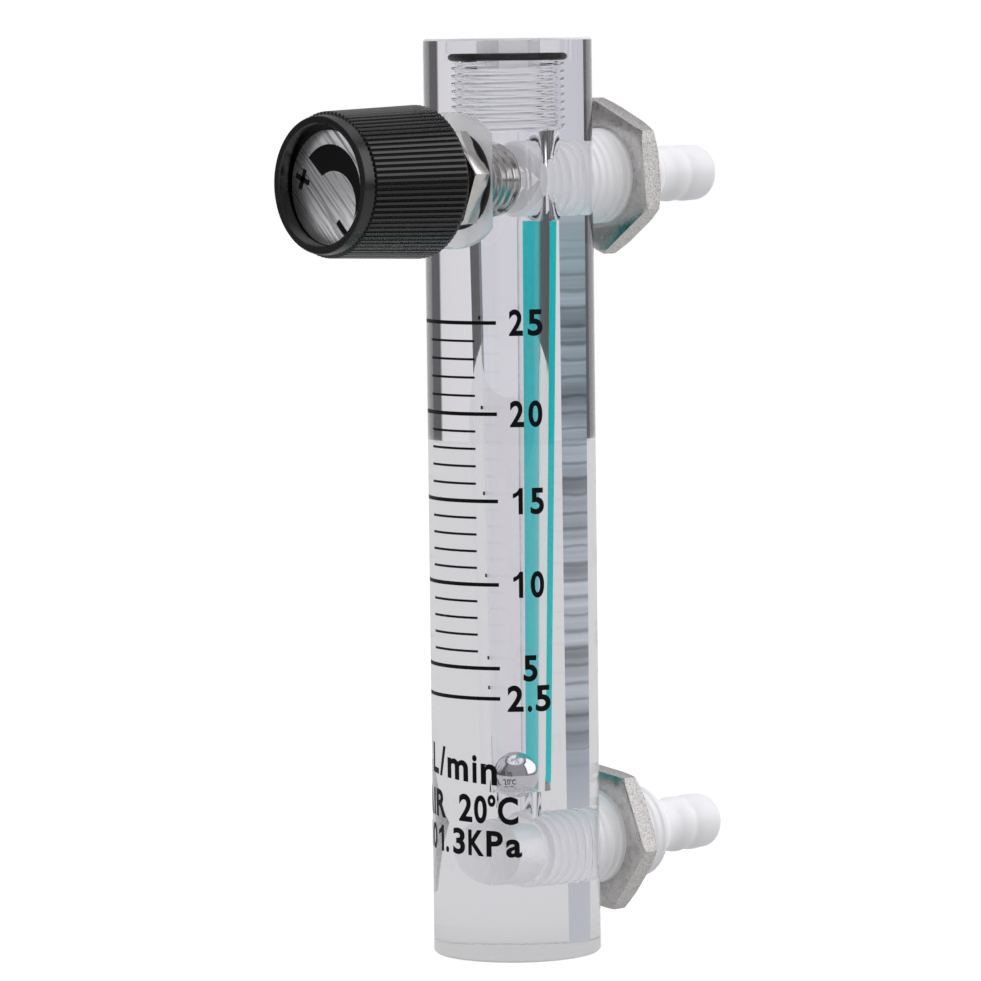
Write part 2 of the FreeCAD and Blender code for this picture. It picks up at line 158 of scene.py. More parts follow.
# Depth of the flute at each point of one pitch, as shares: two on the land, three in the groove
FLUTE_PROFILE = ((0.0, 0.0), (0.42, 0.0), (0.57, 0.72), (0.71, 1.0), (0.85, 0.72))
KNOB_FLOOR_Y = -30.6
KNOB_BORE_R = 2.02
KNOB_BORE_END_Y = -28.4
LABEL_Y = -31.1
LABEL_FILM = 0.03
# Bars of the plus and the minus on the label: length, width, turn in degrees and place
MARK_BARS = (
    (2.7, 0.68, -22.0, (-5.2, 0.67)), (2.7, 0.68, 68.0, (-5.2, 0.67)),
    (2.44, 0.8, -45.5, (2.32, -5.51)))
# Tapering arc on the label: both corners of its thick end and its tip, then its two edges
MOON_CORNERS = ((-3.94, 3.43), (-1.4, 1.12), (4.57, -4.17))
MOON_OUTER = (3.5, 4.1)
MOON_INNER = (3.43, 0.87)
SCREW_Y = -20.4
SCREW_HOLE_R = 1.5

# Ball at rest on its seat
BALL_CENTRE = sum(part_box("float_ball"), Vector()) / 2 / MM
BALL_R = 3.0

# Painted reflection: light that runs round inside the rod, as its back flat shows it from the
# base to the top, then the scale's painted images in it: texture scale, where a dark line
# starts and how dark it is
MILLED_PAINTED_LIGHT = (
    (0.0, (0.47, 0.48, 0.53)), (0.12, (0.46, 0.47, 0.52)), (0.2, (0.3, 0.33, 0.38)),
    (0.35, (0.42, 0.45, 0.5)), (0.6, (0.27, 0.32, 0.37)), (0.78, (0.28, 0.36, 0.4)),
    (0.88, (0.58, 0.58, 0.64)))
MILLED_PAINTED_LINES = ((139.6, 0.8, 0.6), (28.2, 0.86, 0.6))

WHITE = (0.97, 0.97, 0.98)
BALL_STEEL = (0.72, 0.72, 0.73)
STEM_STEEL = (0.6, 0.6, 0.61)

# Camera: fitted to the outlines of the object in the photograph
CAMERA_PLACE = Vector((529.10, -493.39, 118.90))
CAMERA_YAW = math.radians(47.2275)
CAMERA_PITCH = math.radians(-4.5864)
CAMERA_ROLL = math.radians(-0.6756)
FOCAL_PIXELS = 5528.83
IMAGE_PIXELS = 981
SENSOR_MM = 36.0

# Lamps, in degrees: right of the camera's heading, half its width, lower and upper edge
RIGHT_LAMP = (92, 37, 0, 50)
LEFT_LAMP = (-85, 33, 5, 50)

# Scale: heights of the long lines and their numbers
SCALE_LINES = {"25": 83.4, "20": 71.6, "15": 60.3, "10": 49.45, "5": 38.55, "2.5": 34.6}
SHORT_LINES_BETWEEN = ("25", "20", "15", "10", "5")
SHORT_LINES = 4
# Characters of each number with their left and right edges, in degrees round the rod
SCALE_NUMBERS = {
    "25": (("2", 45.9, 55.4), ("5", 58.6, 69.1)),
    "20": (("2", 45.9, 55.4), ("0", 58.4, 68.3)),
    "15": (("1", 47.2, 54.0), ("5", 59.2, 68.7)),
    "10": (("1", 46.9, 53.6), ("0", 58.7, 68.2)),
    "5": (("5", 53.1, 62.8),),
    "2.5": (("2", 42.1, 53.0), (".", 55.7, 58.8), ("5", 61.3, 72.0)),
}
# Words below the scale: middle height, cap height, fall to the right, then their characters
SCALE_WORDS = (
    (25.72, 3.9, 0.08, (("L", -30.0, -18.9), ("/", -16.9, -8.9), ("m", -6.7, 12.8),
                        ("i", 16.2, 19.7), ("n", 22.7, 34.2))),
    (20.19, 3.6, 0.029, (("A", -47.0, -31.3), ("I", -29.5, -26.3), ("R", -23.5, -9.3),
                         ("2", 4.5, 15.8), ("0", 17.2, 26.9), ("°", 27.4, 33.1),
                         ("C", 34.5, 48.5))),
    (15.70, 3.4, 0.016, (("1", -45.0, -37.5), ("0", -33.4, -23.2), ("1", -19.8, -12.4),
                         (".", -9.6, -6.2), ("3", -1.6, 9.5), ("K", 12.3, 24.4), ("P", 26.2, 37.8),
                         ("a", 39.9, 50.8))),
)
# Characters are cut into upright strips this wide, so that they bend round the rod
STRIP_WIDTH = 0.5
STRIPE_LOW_Z = 22.0
STRIPE_HIGH_Z = 96.0
CAPITAL = 0.716
FIGURE_ONE = (
    (0.256, 0.0), (0.393, 0.0), (0.393, 0.719), (0.282, 0.719), (0.245, 0.655), (0.175, 0.597),
    (0.079, 0.561), (0.079, 0.436), (0.175, 0.472), (0.256, 0.522))

POLISHED, MACHINED, FROSTED, BONDED, MILLED = 0, 1, 2, 3, 4


def length(name, description, default):
    """Property for a length in metres."""
    return FloatProperty(
        name=name, description=description, default=default, unit="LENGTH", precision=5)


def colour(name, description, default):
    """Property for a colour."""
    return FloatVectorProperty(
        name=name, description=description, default=default, subtype="COLOR", min=0.0, max=1.0)


def angle(name, description, degrees):
    """Property for an angle."""
    return FloatProperty(
        name=name, description=description, default=math.radians(degrees), subtype="ANGLE")


def light(name, description, default):
    """Property for a brightness."""
    return FloatProperty(name=name, description=description, default=default, min=0.0)


class PrintSettings(bpy.types.PropertyGroup):
    """Printed scale on the front of the rod."""

    ink: colour("Ink", "Colour of the lines and numbers", (0.006, 0.006, 0.007))
    stripe: colour("Stripe", "Colour of the stripe on the back flat", (0.02, 0.73, 0.74))
    # Painted glow on the stripe, standing for light that comes through the thin paint
    stripe_painted_glow: light("Stripe glow", "Light that comes through the thin paint", 0.32)
    number_height: length("Number height", "Height of the numbers", 0.0034)
    long_line: angle("Long line", "Half the angle a numbered line goes round the rod", 37.2)
    short_line: angle("Short line", "Half the angle a line between numbers goes round", 21.7)
    long_weight: length("Long weight", "Thickness of the numbered lines", 0.00048)
    short_weight: length("Short weight", "Thickness of the other lines", 0.0003)
    boldness: FloatProperty(
        name="Boldness", description="How far the letters are thickened, as a share of their size",
        default=0.028, min=0.0, max=0.05)
    stripe_width: length("Stripe width", "Width of the stripe", 0.0088)
    film: length("Film", "Depth of the ink on each side of the surface", 0.00002)


class KnobSettings(bpy.types.PropertyGroup):
    """Fluted knob and its label."""

    flutes: IntProperty(
        name="Flutes", description="Number of flutes round the knob", default=80, min=12, max=120)
    flute_depth: length("Flute depth", "Depth of each flute", 0.00032)
    anodised: colour("Anodised", "Colour of the knob", (0.0022, 0.0022, 0.0026))
    brush_turn: angle("Brush turn", "Direction of the brushing on the label", -45.0)


class FinishSettings(bpy.types.PropertyGroup):
    """Colours of the other pieces."""

    acrylic: colour("Acrylic", "Tint of the clear rod", (0.945, 0.937, 0.965))
    nylon: colour("Nylon", "Colour of the hose tails", (0.93, 0.93, 0.95))
    nickel: colour("Nickel", "Colour of the plated metal", (0.60, 0.585, 0.57))
    rubber: colour("Rubber", "Colour of the seals", (0.010, 0.010, 0.011))


class StageSettings(bpy.types.PropertyGroup):
    """Floor and light."""

    floor_radius: length("Floor radius", "Radius of the pale floor", 0.95)
    backdrop: angle("Backdrop", "Half the angle of the white backdrop behind the object", 44.0)
    backdrop_light: light("Backdrop light", "Brightness of the backdrop in the object", 0.76)
    surround: light("Surround", "Brightness of the room beside the backdrop", 0.1)
    front: light("Front", "Brightness of the room behind the camera", 0.32)
    overhead: light("Overhead", "Brightness of the soft light overhead", 1.3)
    softbox: light("Softbox", "Brightness of the lamp on the right", 1.75)
    fill: light("Fill", "Brightness of the lamp on the left", 0.72)
    floor_glow: light("Floor glow", "Light added to the floor as the object sees it", 0.43)


class RotameterSettings(bpy.types.PropertyGroup):
    """All the settings of the rotameter."""

    print: PointerProperty(type=PrintSettings)
    knob: PointerProperty(type=KnobSettings)
    finish: PointerProperty(type=FinishSettings)
    stage: PointerProperty(type=StageSettings)


def in_mm(metres):
    """A length setting in millimetres."""
    return metres / MM


def as_object(name, shape, materials):
    """A mesh object from a bmesh, which is used up."""
    mesh = bpy.data.meshes.new(name)
    shape.to_mesh(mesh)
    shape.free()
    for material in materials:
        mesh.materials.append(material)
    piece = bpy.data.objects.new(name, mesh)
    bpy.context.scene.collection.objects.link(piece)
    return piece


def drop(piece):
    """Delete a helper object and its mesh."""
    data = piece.data
    bpy.data.objects.remove(piece)
    if isinstance(data, bpy.types.Mesh):
        bpy.data.meshes.remove(data)
    else:
        bpy.data.curves.remove(data)


def evaluated(piece):
    """A bmesh of an object with its modifiers applied. The object is deleted."""
    graph = bpy.context.evaluated_depsgraph_get()
    mesh = bpy.data.meshes.new_from_object(piece.evaluated_get(graph))
    shape = bmesh.new()
    shape.from_mesh(mesh)
    bpy.data.meshes.remove(mesh)
    drop(piece)
    return shape


def combined(base, *steps):
    """Cut, join or intersect a closed bmesh with others, in order."""
    piece = as_object("base", base, ())
    tools = []
    for operation, shape in steps:
        tool = as_object("tool", shape, ())
        step = piece.modifiers.new(operation, "BOOLEAN")
        step.operation = operation
        step.solver = "EXACT"
        step.object = tool
        tool.hide_render = True
        tools.append(tool)
    # Material numbers pass through the steps by index, so every object gets the same slots
    blanks = [bpy.data.materials.new("blank") for _ in range(5)]
    for thing in [piece] + tools:
        for blank in blanks:
            thing.data.materials.append(blank)
    shape = evaluated(piece)
    for tool in tools:
        drop(tool)
    for blank in blanks:
        bpy.data.materials.remove(blank)
    return shape


def placed(name, shape, materials, body, nodes=(), sharp_degrees=30.0):
    """Turn a bmesh in millimetres into a finished piece that rides on a body."""
    bmesh.ops.scale(shape, vec=(MM, MM, MM), verts=shape.verts)
    piece = as_object(name, shape, materials)
    piece.data.shade_smooth()
    piece.data.set_sharp_from_angle(angle=math.radians(sharp_degrees))
    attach(piece, body)
    if nodes:
        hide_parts(*nodes)
    return piece


def surfaced(shape, number):
    """Give every face of a bmesh one material number."""
    for face in shape.faces:
        face.material_index = number
    return shape


def outwards(shape):
    """Turn every face of a bmesh outwards."""
    bmesh.ops.recalc_face_normals(shape, faces=shape.faces)
    return shape


def sliced(shape, place, normal, clear=False):
    """Cut a bmesh with a plane, and drop what lies beyond it if asked to."""
    bmesh.ops.bisect_plane(
        shape, geom=shape.verts[:] + shape.edges[:] + shape.faces[:], dist=TOUCH,
        plane_co=place, plane_no=normal, clear_outer=clear)


def moved(shape, degrees, axis, place):
    """Turn a bmesh about an axis through the origin, then move it."""
    bmesh.ops.rotate(
        shape, cent=(0, 0, 0), matrix=Matrix.Rotation(math.radians(degrees), 3, axis),
        verts=shape.verts)
    bmesh.ops.translate(shape, vec=place, verts=shape.verts)
    return shape


def turned(points, steps=BORE_SEGMENTS, closed=False):
    """Solid turned about Z from (z, r) points. A closed outline makes a ring."""
    shape = bmesh.new()
    verts = [shape.verts.new((r, 0, z)) for z, r in points]
    edges = [shape.edges.new(pair) for pair in zip(verts, verts[1:])]
    if closed:
        edges.append(shape.edges.new((verts[-1], verts[0])))
    bmesh.ops.spin(
        shape, geom=verts + edges, cent=(0, 0, 0), axis=(0, 0, 1),
        angle=math.tau, steps=steps, use_merge=True)
    bmesh.ops.remove_doubles(shape, verts=shape.verts, dist=WELD)
    return outwards(shape)


def lathed(points, steps=BORE_SEGMENTS):
    """Solid turned about Z from the (z, r) points of its skin, closed flat at both ends."""
    return turned([(points[0][0], 0), *points, (points[-1][0], 0)], steps)


def arc(centre, radius, start_degrees, end_degrees, count):
    """Points of an arc in the (z, r) plane of a turned outline."""
    points = []
    for k in range(count + 1):
        turn = math.radians(start_degrees + (end_degrees - start_degrees) * k / count)
        points.append((centre[0] + radius * math.cos(turn), centre[1] + radius * math.sin(turn)))
    return points


def threaded(crest_r, root_r, pitch, low, high, crest=0.14, root=0.24, steps=THREAD_STEPS):
    """Rod along Z with a helical ridge, cut off flat at both ends."""
    shape = bmesh.new()
    flank = (1 - crest - root) / 2
    outline = [
        (0, root_r), (root / 2, root_r), (root / 2 + flank, crest_r),
        (root / 2 + flank + crest, crest_r), (1 - root / 2, root_r), (1, root_r)]
    start = low - 2 * pitch
    turns = math.ceil((high - low) / pitch) + 4
    verts = [shape.verts.new((r, 0, start + share * pitch)) for share, r in outline]
    edges = [shape.edges.new(pair) for pair in zip(verts, verts[1:])]
    bmesh.ops.spin(
        shape, geom=verts + edges, cent=(0, 0, 0), axis=(0, 0, 1),
        dvec=(0, 0, pitch / steps), angle=math.tau * turns, steps=steps * turns)
    bmesh.ops.remove_doubles(shape, verts=shape.verts, dist=pitch / 500)
    for height, outward in ((low, -1), (high, 1)):
        sliced(shape, (0, 0, height), (0, 0, outward), clear=True)
        rim = [e for e in shape.edges if e.is_boundary and all(
            abs(v.co.z - height) < 0.001 for v in e.verts)]
        bmesh.ops.holes_fill(shape, edges=rim, sides=0)
    return outwards(shape)


def tap(low, high):
    """Cutter for a tapped port, about Z."""
    return threaded(THREAD_R, THREAD_ROOT_R, THREAD_PITCH, low, high)


def male_thread(low, high):
    """Thread that screws into a port, about Z."""
    return threaded(MALE_R, MALE_ROOT_R, THREAD_PITCH, low, high)


def along_y(shape, height):
    """Turn a shape made about Z so that its axis lies along +Y at a height."""
    return moved(shape, -90, "X", (0, 0, height))


def round_bar(radius, low, high, steps=BORE_SEGMENTS):
    """Plain round bar about Z."""
    return lathed([(low, radius), (high, radius)], steps)


def hexagon(across_flats, low, high, turn=0.0):
    """Six-sided bar about Z with one corner turned from +X."""
    shape = bmesh.new()
    bmesh.ops.create_cone(
        shape, cap_ends=True, segments=6, radius1=across_flats / math.sqrt(3),
        radius2=across_flats / math.sqrt(3), depth=high - low,
        matrix=Matrix.Translation((0, 0, (low + high) / 2))
        @ Matrix.Rotation(turn - math.radians(30), 4, "Z"))
    return shape


def block(low, high):
    """Box between two corners."""
    shape = bmesh.new()
    size = Vector(high) - Vector(low)
    middle = (Vector(high) + Vector(low)) / 2
    bmesh.ops.create_cube(
        shape, size=1.0, matrix=Matrix.Translation(middle) @ Matrix.Diagonal((*size, 1)))
    return shape


def softened(shape, width, segments=2, degrees=25.0):
    """Round every edge that turns by more than an angle."""
    limit = math.radians(degrees)
    bmesh.ops.dissolve_limit(
        shape, angle_limit=math.radians(0.5), verts=shape.verts, edges=shape.edges)
    edges = [e for e in shape.edges if len(e.link_faces) == 2 and e.calc_face_angle(0) > limit]
    bmesh.ops.bevel(
        shape, geom=edges, offset=width, offset_type="OFFSET", segments=segments,
        profile=0.5, affect="EDGES", material=-1, clamp_overlap=True)
    return shape


class Nodes:
    """Short way to add and join nodes in one tree."""

    def __init__(self, owner):
        owner.use_nodes = True
        self.tree = owner.node_tree

    def node(self, kind, **values):
        """Add a node and set its plain values."""
        node = self.tree.nodes.new(kind)
        for key, value in values.items():
            if hasattr(node, key):
                setattr(node, key, value)
            else:
                node.inputs[key.replace("_", " ")].default_value = value
        return node

    def link(self, output, target, key):
        """Join an output to an input given by name or number."""
        self.tree.links.new(output, target.inputs[key])

    def maths(self, operation, first, second, kind="ShaderNodeMath"):
        """Two outputs joined by a sum, product or power. The second may be a plain value."""
        result = self.node(kind, operation=operation)
        self.link(first, result, 0)
        if isinstance(second, bpy.types.NodeSocket):
            self.link(second, result, 1)
        else:
            result.inputs[1].default_value = second
        return result.outputs[0]

    def mix(self, factor, first, second, output):
        """Mix two shaders by a factor and feed the tree's output node."""
        mixed = self.node("ShaderNodeMixShader")
        for number, socket in enumerate((factor, first, second)):
            self.link(socket, mixed, number)
        self.link(mixed.outputs["Shader"], self.tree.nodes[output], "Surface")


class Shader(Nodes):
    """Material round one Principled shader, with textures on its object's coordinates."""

    def __init__(self, name, **values):
        self.material = bpy.data.materials.new(name)
        super().__init__(self.material)
        self.shader = self.tree.nodes["Principled BSDF"]
        for key, value in values.items():
            self.set(key, value)
        self.place = self.node("ShaderNodeTexCoord").outputs["Object"]

    def set(self, key, value):
        """Set a socket of the shader by its name with underscores."""
        socket = self.shader.inputs[key.replace("_", " ").replace(" Ior", " IOR")]
        if hasattr(socket.default_value, "__len__") and len(value) == 3:
            if len(socket.default_value) == 4:
                value = (*value, 1.0)
        socket.default_value = value

    def turned_place(self, rotation=(0, 0, 0), scale=(1, 1, 1)):
        """Object coordinates turned, then drawn out by a scale for each axis."""
        mapping = self.node(
            "ShaderNodeMapping", vector_type="TEXTURE", Rotation=rotation, Scale=scale)
        self.link(self.place, mapping, "Vector")
        return mapping.outputs["Vector"]

    def noise(self, scale, detail=2.0, place=None, roughness=0.5):
        """Noise that varies over the object, with about scale lumps a metre."""
        noise = self.node("ShaderNodeTexNoise", Scale=scale, Detail=detail, Roughness=roughness)
        self.link(place or self.place, noise, "Vector")
        return noise.outputs["Fac"]

    def spread(self, value, low, high, start=0.3, end=0.7):
        """Map a texture onto a range of values."""
        spread = self.node("ShaderNodeMapRange")
        self.link(value, spread, "Value")
        for number, value in enumerate((start, end, low, high), 1):
            spread.inputs[number].default_value = value
        return spread.outputs["Result"]

    def blend(self, value, low, high):
        """Mix two colours by a texture."""
        ramp = self.node("ShaderNodeValToRGB")
        self.link(value, ramp, "Fac")
        for element, position, colour in zip(ramp.color_ramp.elements, (0.3, 0.7), (low, high)):
            element.position = position
            element.color = (*colour, 1.0)
        return ramp.outputs["Color"]

    def drive(self, key, output):
        """Feed a shader socket."""
        self.link(output, self.shader, key)

    def paint(self, texture, colour, low, high):
        """Colour the shader between a darker and a lighter share of one colour."""
        self.drive("Base Color", self.blend(texture, shade(colour, low), shade(colour, high)))

    def roughen(self, texture, low, high):
        """Spread the roughness by a texture."""
        self.drive("Roughness", self.spread(texture, low, high))

    def glow(self, colour, strength):
        """Let the surface give light of its own."""
        self.set("Emission_Color", colour)
        self.set("Emission_Strength", strength)

    def bump(self, value, strength, distance):
        """Feed the normal with a bump of a height in metres."""
        bump = self.node("ShaderNodeBump", Strength=strength, Distance=distance)
        self.link(value, bump, "Height")
        self.link(bump.outputs["Normal"], self.shader, "Normal")


def shade(colour, share):
    """A colour made lighter or darker."""
    return tuple(min(1.0, part * share) for part in colour)


def clear_material(
        name, tint, rough_low, rough_high, bump_height, scale, haze=0.0, ior=1.49, glow=0.0):
    """Clear acrylic, polished or as a cutter left it. A glow stands for light caught inside."""
    s = Shader(name, Base_Color=tint, Transmission_Weight=1.0 - haze, IOR=ior)
    s.glow(tint, glow)
    s.roughen(s.noise(scale, 3.0), rough_low, rough_high)
    if bump_height:
        s.bump(s.noise(scale * 3, 2.0), 0.5, bump_height)
    return s.material


def milled_painted_reflection_material(name, tint):
    """Milled flat. Seen from inside at a slant it shows a painted reflection of the light that runs
    round in the rod.
    """
    s = Shader(name, Base_Color=tint, Transmission_Weight=1.0, IOR=1.49)
    s.roughen(s.noise(1200.0, 3.0), 0.03, 0.08)
    split = s.node("ShaderNodeSeparateXYZ")
    s.link(s.place, split, "Vector")
    ramp = s.node("ShaderNodeValToRGB")
    s.link(s.spread(split.outputs["Z"], 0.0, 1.0, 0.0, ROD_H * MM), ramp, "Fac")
    elements = ramp.color_ramp.elements
    for position, colour in MILLED_PAINTED_LIGHT[1:-1]:
        elements.new(position).color = (*colour, 1.0)
    for element, (position, colour) in zip(elements, MILLED_PAINTED_LIGHT):
        element.position = position
        element.color = (*colour, 1.0)
    # Painted reflection: soft images of the scale's lines, wavy from the cutter's marks, only as
    # far as the scale
    streaks = s.spread(s.noise(330.0, 5.0, s.turned_place(scale=(8, 1, 1)), 0.6), 0.45, 1.35)
    for scale, start, low in MILLED_PAINTED_LINES:
        wave = s.node(
            "ShaderNodeTexWave", bands_direction="Z", Scale=scale, Distortion=2.4, Detail=3.0,
            Detail_Scale=2.5)
        s.link(s.place, wave, "Vector")
        streaks = s.maths(
            "MULTIPLY", streaks, s.spread(wave.outputs["Fac"], 1.0, low, start, 1.0))
    above = s.spread(split.outputs["Z"], 0.0, 1.0, 0.022, 0.03)
    below = s.spread(split.outputs["Z"], 1.0, 0.0, 0.084, 0.098)
    streaks = s.maths("POWER", streaks, s.maths("MULTIPLY", above, below))
    # The painted reflection glows where the flat is seen from inside at a slant
    glow = s.node("ShaderNodeEmission")
    s.link(ramp.outputs["Color"], glow, "Color")
    s.link(streaks, glow, "Strength")
    fresnel = s.node("ShaderNodeFresnel", IOR=1.49).outputs["Fac"]
    inside = s.node("ShaderNodeNewGeometry").outputs["Backfacing"]
    painted_reflection_share = s.maths("MULTIPLY", s.spread(fresnel, 0.0, 1.0, 0.1, 0.2), inside)
    s.mix(painted_reflection_share, s.shader.outputs["BSDF"], glow.outputs["Emission"], "Material Output")
    return s.material


def acrylic_materials():
    """Polished, machined, frosted and bonded acrylic, in the order of the material numbers."""
    tint = tuple(bpy.context.scene.rotameter.finish.acrylic)
    return [
        clear_material("acrylic_polished", tint, 0.0, 0.015, 0.0, 150.0),
        clear_material("acrylic_machined", tint, 0.08, 0.17, 0.00001, 1200.0, haze=0.04),
        # Frosted acrylic takes a painted glow for light caught inside it
        clear_material(
            "acrylic_frosted_painted_glow", WHITE, 0.45, 0.6, 0.00003, 2500.0, haze=0.45, glow=0.12),
        # The gap round the plug is filled with sealant, which hardly bends the light
        clear_material("acrylic_bonded", WHITE, 0.03, 0.08, 0.0, 900.0, ior=1.05),
        # Milled flat with a painted reflection of the light inside the rod
        milled_painted_reflection_material("acrylic_milled_painted_reflection", tint),
    ]


def ink_material(name, colour, glow=0.0):
    """Printed ink, a little uneven. A glow, where one is given, is painted light."""
    s = Shader(name, Roughness=0.5, Specular_IOR_Level=0.12)
    s.paint(s.noise(900.0, 2.0), colour, 0.92, 1.08)
    s.glow(colour, glow)
    s.bump(s.noise(4000.0, 2.0), 0.3, 0.000004)
    return s.material


def nylon_material():
    """Natural nylon, a little see-through at its thin edges, lifted by a painted glow."""
    colour = tuple(bpy.context.scene.rotameter.finish.nylon)
    s = Shader(
        "moulded_nylon_painted_glow", Subsurface_Weight=0.35, Subsurface_Scale=0.0012,
        Subsurface_Radius=(1.0, 0.95, 0.95))
    # Painted light: a glow that brightens the nylon, which gives no light of its own
    s.glow(colour, 0.19)
    s.paint(s.noise(180.0, 3.0), colour, 0.97, 1.04)
    s.roughen(s.noise(700.0, 3.0), 0.26, 0.4)
    s.bump(s.noise(1500.0, 3.0), 0.25, 0.00002)
    return s.material


def nickel_material(
        name, share, rough_low, rough_high, bump_height, scale, stretch=(1, 1, 1), contrast=0.1):
    """Nickel plate over turned or sawn brass."""
    colour = shade(tuple(bpy.context.scene.rotameter.finish.nickel), share)
    s = Shader(name, Metallic=1.0)
    marks = s.noise(scale, 4.0, s.turned_place(scale=stretch), 0.65)
    s.paint(marks, colour, 1 - contrast, 1 + contrast)
    s.roughen(marks, rough_low, rough_high)
    s.bump(marks, 0.6, bump_height)
    return s.material


def rubber_material():
    """Black rubber."""
    colour = tuple(bpy.context.scene.rotameter.finish.rubber)
    s = Shader("seal_rubber_black", Specular_IOR_Level=0.4)
    s.paint(s.noise(1200.0, 2.0), colour, 0.8, 1.5)
    s.roughen(s.noise(1800.0, 2.0), 0.4, 0.6)
    s.bump(s.noise(3000.0, 2.0), 0.3, 0.00001)
    return s.material


def anodised_material():
    """Black anodised aluminium with a fine satin grain."""
    colour = tuple(bpy.context.scene.rotameter.knob.anodised)
    s = Shader("anodised_black", Metallic=0.0, Specular_IOR_Level=0.66)
    grain = s.noise(6000.0, 3.0)
    s.paint(s.noise(400.0, 2.0), colour, 0.85, 1.3)
    s.roughen(grain, 0.21, 0.32)
    s.bump(grain, 0.3, 0.000005)
    return s.material


def brushed_material():
    """Aluminium disc brushed in one direction."""
    turn = bpy.context.scene.rotameter.knob.brush_turn
    s = Shader("label_brushed", Metallic=1.0)
    place = s.turned_place(rotation=(0, turn, 0), scale=(1, 1, 60))
    streaks = s.spread(s.noise(4200.0, 5.0, place, 0.75), 0.12, 0.9, 0.34, 0.57)
    s.drive("Base Color", s.blend(streaks, (0.3, 0.3, 0.32), (1.0, 0.99, 1.0)))
    s.roughen(streaks, 0.42, 0.3)
    s.bump(streaks, 0.5, 0.00002)
    return s.material


def steel_material(name, colour, rough_low, rough_high, scale, stretch):
    """Turned or polished steel."""
    s = Shader(name, Metallic=1.0)
    marks = s.noise(scale, 2.0, s.turned_place(scale=stretch))
    s.paint(marks, colour, 0.97, 1.02)
    s.roughen(marks, rough_low, rough_high)
    return s.material


def bore_cutter():
    """Orifice, taper and drilled top, about the tube axis."""
    return surfaced(lathed([
        (INLET_Z, ORIFICE_R), (SEAT_Z, ORIFICE_R), (SEAT_Z, TAPER_LOW_R),
        (TAPER_TOP_Z, TAPER_HIGH_R), (TAPER_TOP_Z, DRILL_R), (PLUG_SEAL_Z + LAP, DRILL_R)]),
        POLISHED)


def rod_shape():
    """Clear rod with its flat, valve seat, bores and tapped holes."""
    rod = lathed([
        (0, ROD_R - ROD_EDGE), (ROD_EDGE, ROD_R), (ROD_H - ROD_EDGE, ROD_R),
        (ROD_H, ROD_R - ROD_EDGE)], ROD_SEGMENTS)
    far = ROD_R + PAST
    flat = surfaced(block((-far, FLAT_Y, -PAST), (far, far, ROD_H + PAST)), MILLED)
    spot = surfaced(along_y(round_bar(SPOT_R, -far, SPOT_Y, 192), OUTLET_Z), FROSTED)
    plug_tap = surfaced(tap(PLUG_THREAD_LOW_Z, PLUG_SEAL_Z + 0.2), MACHINED)
    plug_bed = surfaced(round_bar(PLUG_SEAL_BED_R, PLUG_SEAL_Z, ROD_H + PAST), MACHINED)
    back_tap = tap(BACK_TAP_END_Y, FLAT_Y + LAP)
    inlet_drill = round_bar(INLET_DRILL_R, INLET_DRILL_END_Y, BACK_TAP_END_Y + 0.3)
    outlet_drill = round_bar(DRILL_R, SPOT_Y - LAP, FLAT_Y + LAP)
    valve_tap = tap(SPOT_Y - LAP, VALVE_TAP_END_Y)
    mouth = round_bar(MOUTH_R, MOUTH_Y, FLAT_Y + PAST)
    cutters = [flat, spot, bore_cutter(), plug_tap, plug_bed]
    for shape, number, height in (
            (inlet_drill, FROSTED, INLET_Z), (back_tap.copy(), BONDED, INLET_Z),
            (outlet_drill, FROSTED, OUTLET_Z), (valve_tap, MACHINED, OUTLET_Z),
            (back_tap, BONDED, OUTLET_Z), (mouth.copy(), MACHINED, INLET_Z),
            (mouth, MACHINED, OUTLET_Z)):
        cutters.append(surfaced(along_y(shape, height), number))
    shape = combined(rod, *(("DIFFERENCE", cutter) for cutter in cutters))
    for face in shape.faces:
        middle = face.calc_center_median()
        if middle.z > PLUG_THREAD_LOW_Z - 0.05 and middle.xy.length < PLUG_SEAL_BED_R + 0.01:
            face.material_index = BONDED
        elif 0.3 < abs(face.normal.z) < 0.9 and middle.xy.length > ROD_R - 2 * ROD_EDGE:
            face.material_index = FROSTED
    return shape


def on_rod(shape, height, film):
    """Wrap a flat shape round the front of the rod: x along the arc, y up, z outwards."""
    for vert in shape.verts:
        turn = vert.co.x / ROD_R
        radius = ROD_R + film * (1 if vert.co.z > 0 else -1)
        up = height + vert.co.y
        vert.co = Vector((radius * math.sin(turn), -radius * math.cos(turn), up))
    return outwards(shape)


def line_on_rod(height, half_angle, weight, film):
    """Printed line round the front of the rod."""
    shape = bmesh.new()
    corners = [(-film, -1), (film, -1), (film, 1), (-film, 1)]
    matrix = Matrix.Rotation(-half_angle, 3, "Z")
    verts = [shape.verts.new(matrix @ Vector((0, -ROD_R - out, height + side * weight / 2)))
             for out, side in corners]
    edges = [shape.edges.new((verts[k], verts[(k + 1) % 4])) for k in range(4)]
    bmesh.ops.spin(
        shape, geom=verts + edges, cent=(0, 0, 0), axis=(0, 0, 1), angle=2 * half_angle, steps=48)
    bmesh.ops.holes_fill(shape, edges=[e for e in shape.edges if e.is_boundary], sides=0)
    return outwards(shape)


def outline_plate(points, half):
    """Flat plate of an outline in the XY plane."""
    shape = bmesh.new()
    face = shape.faces.new([shape.verts.new((x, y, -half)) for x, y in points])
    lifted = bmesh.ops.extrude_face_region(shape, geom=[face])["geom"]
    bmesh.ops.translate(
        shape, vec=(0, 0, 2 * half), verts=[v for v in lifted if isinstance(v, bmesh.types.BMVert)])
    return outwards(shape)


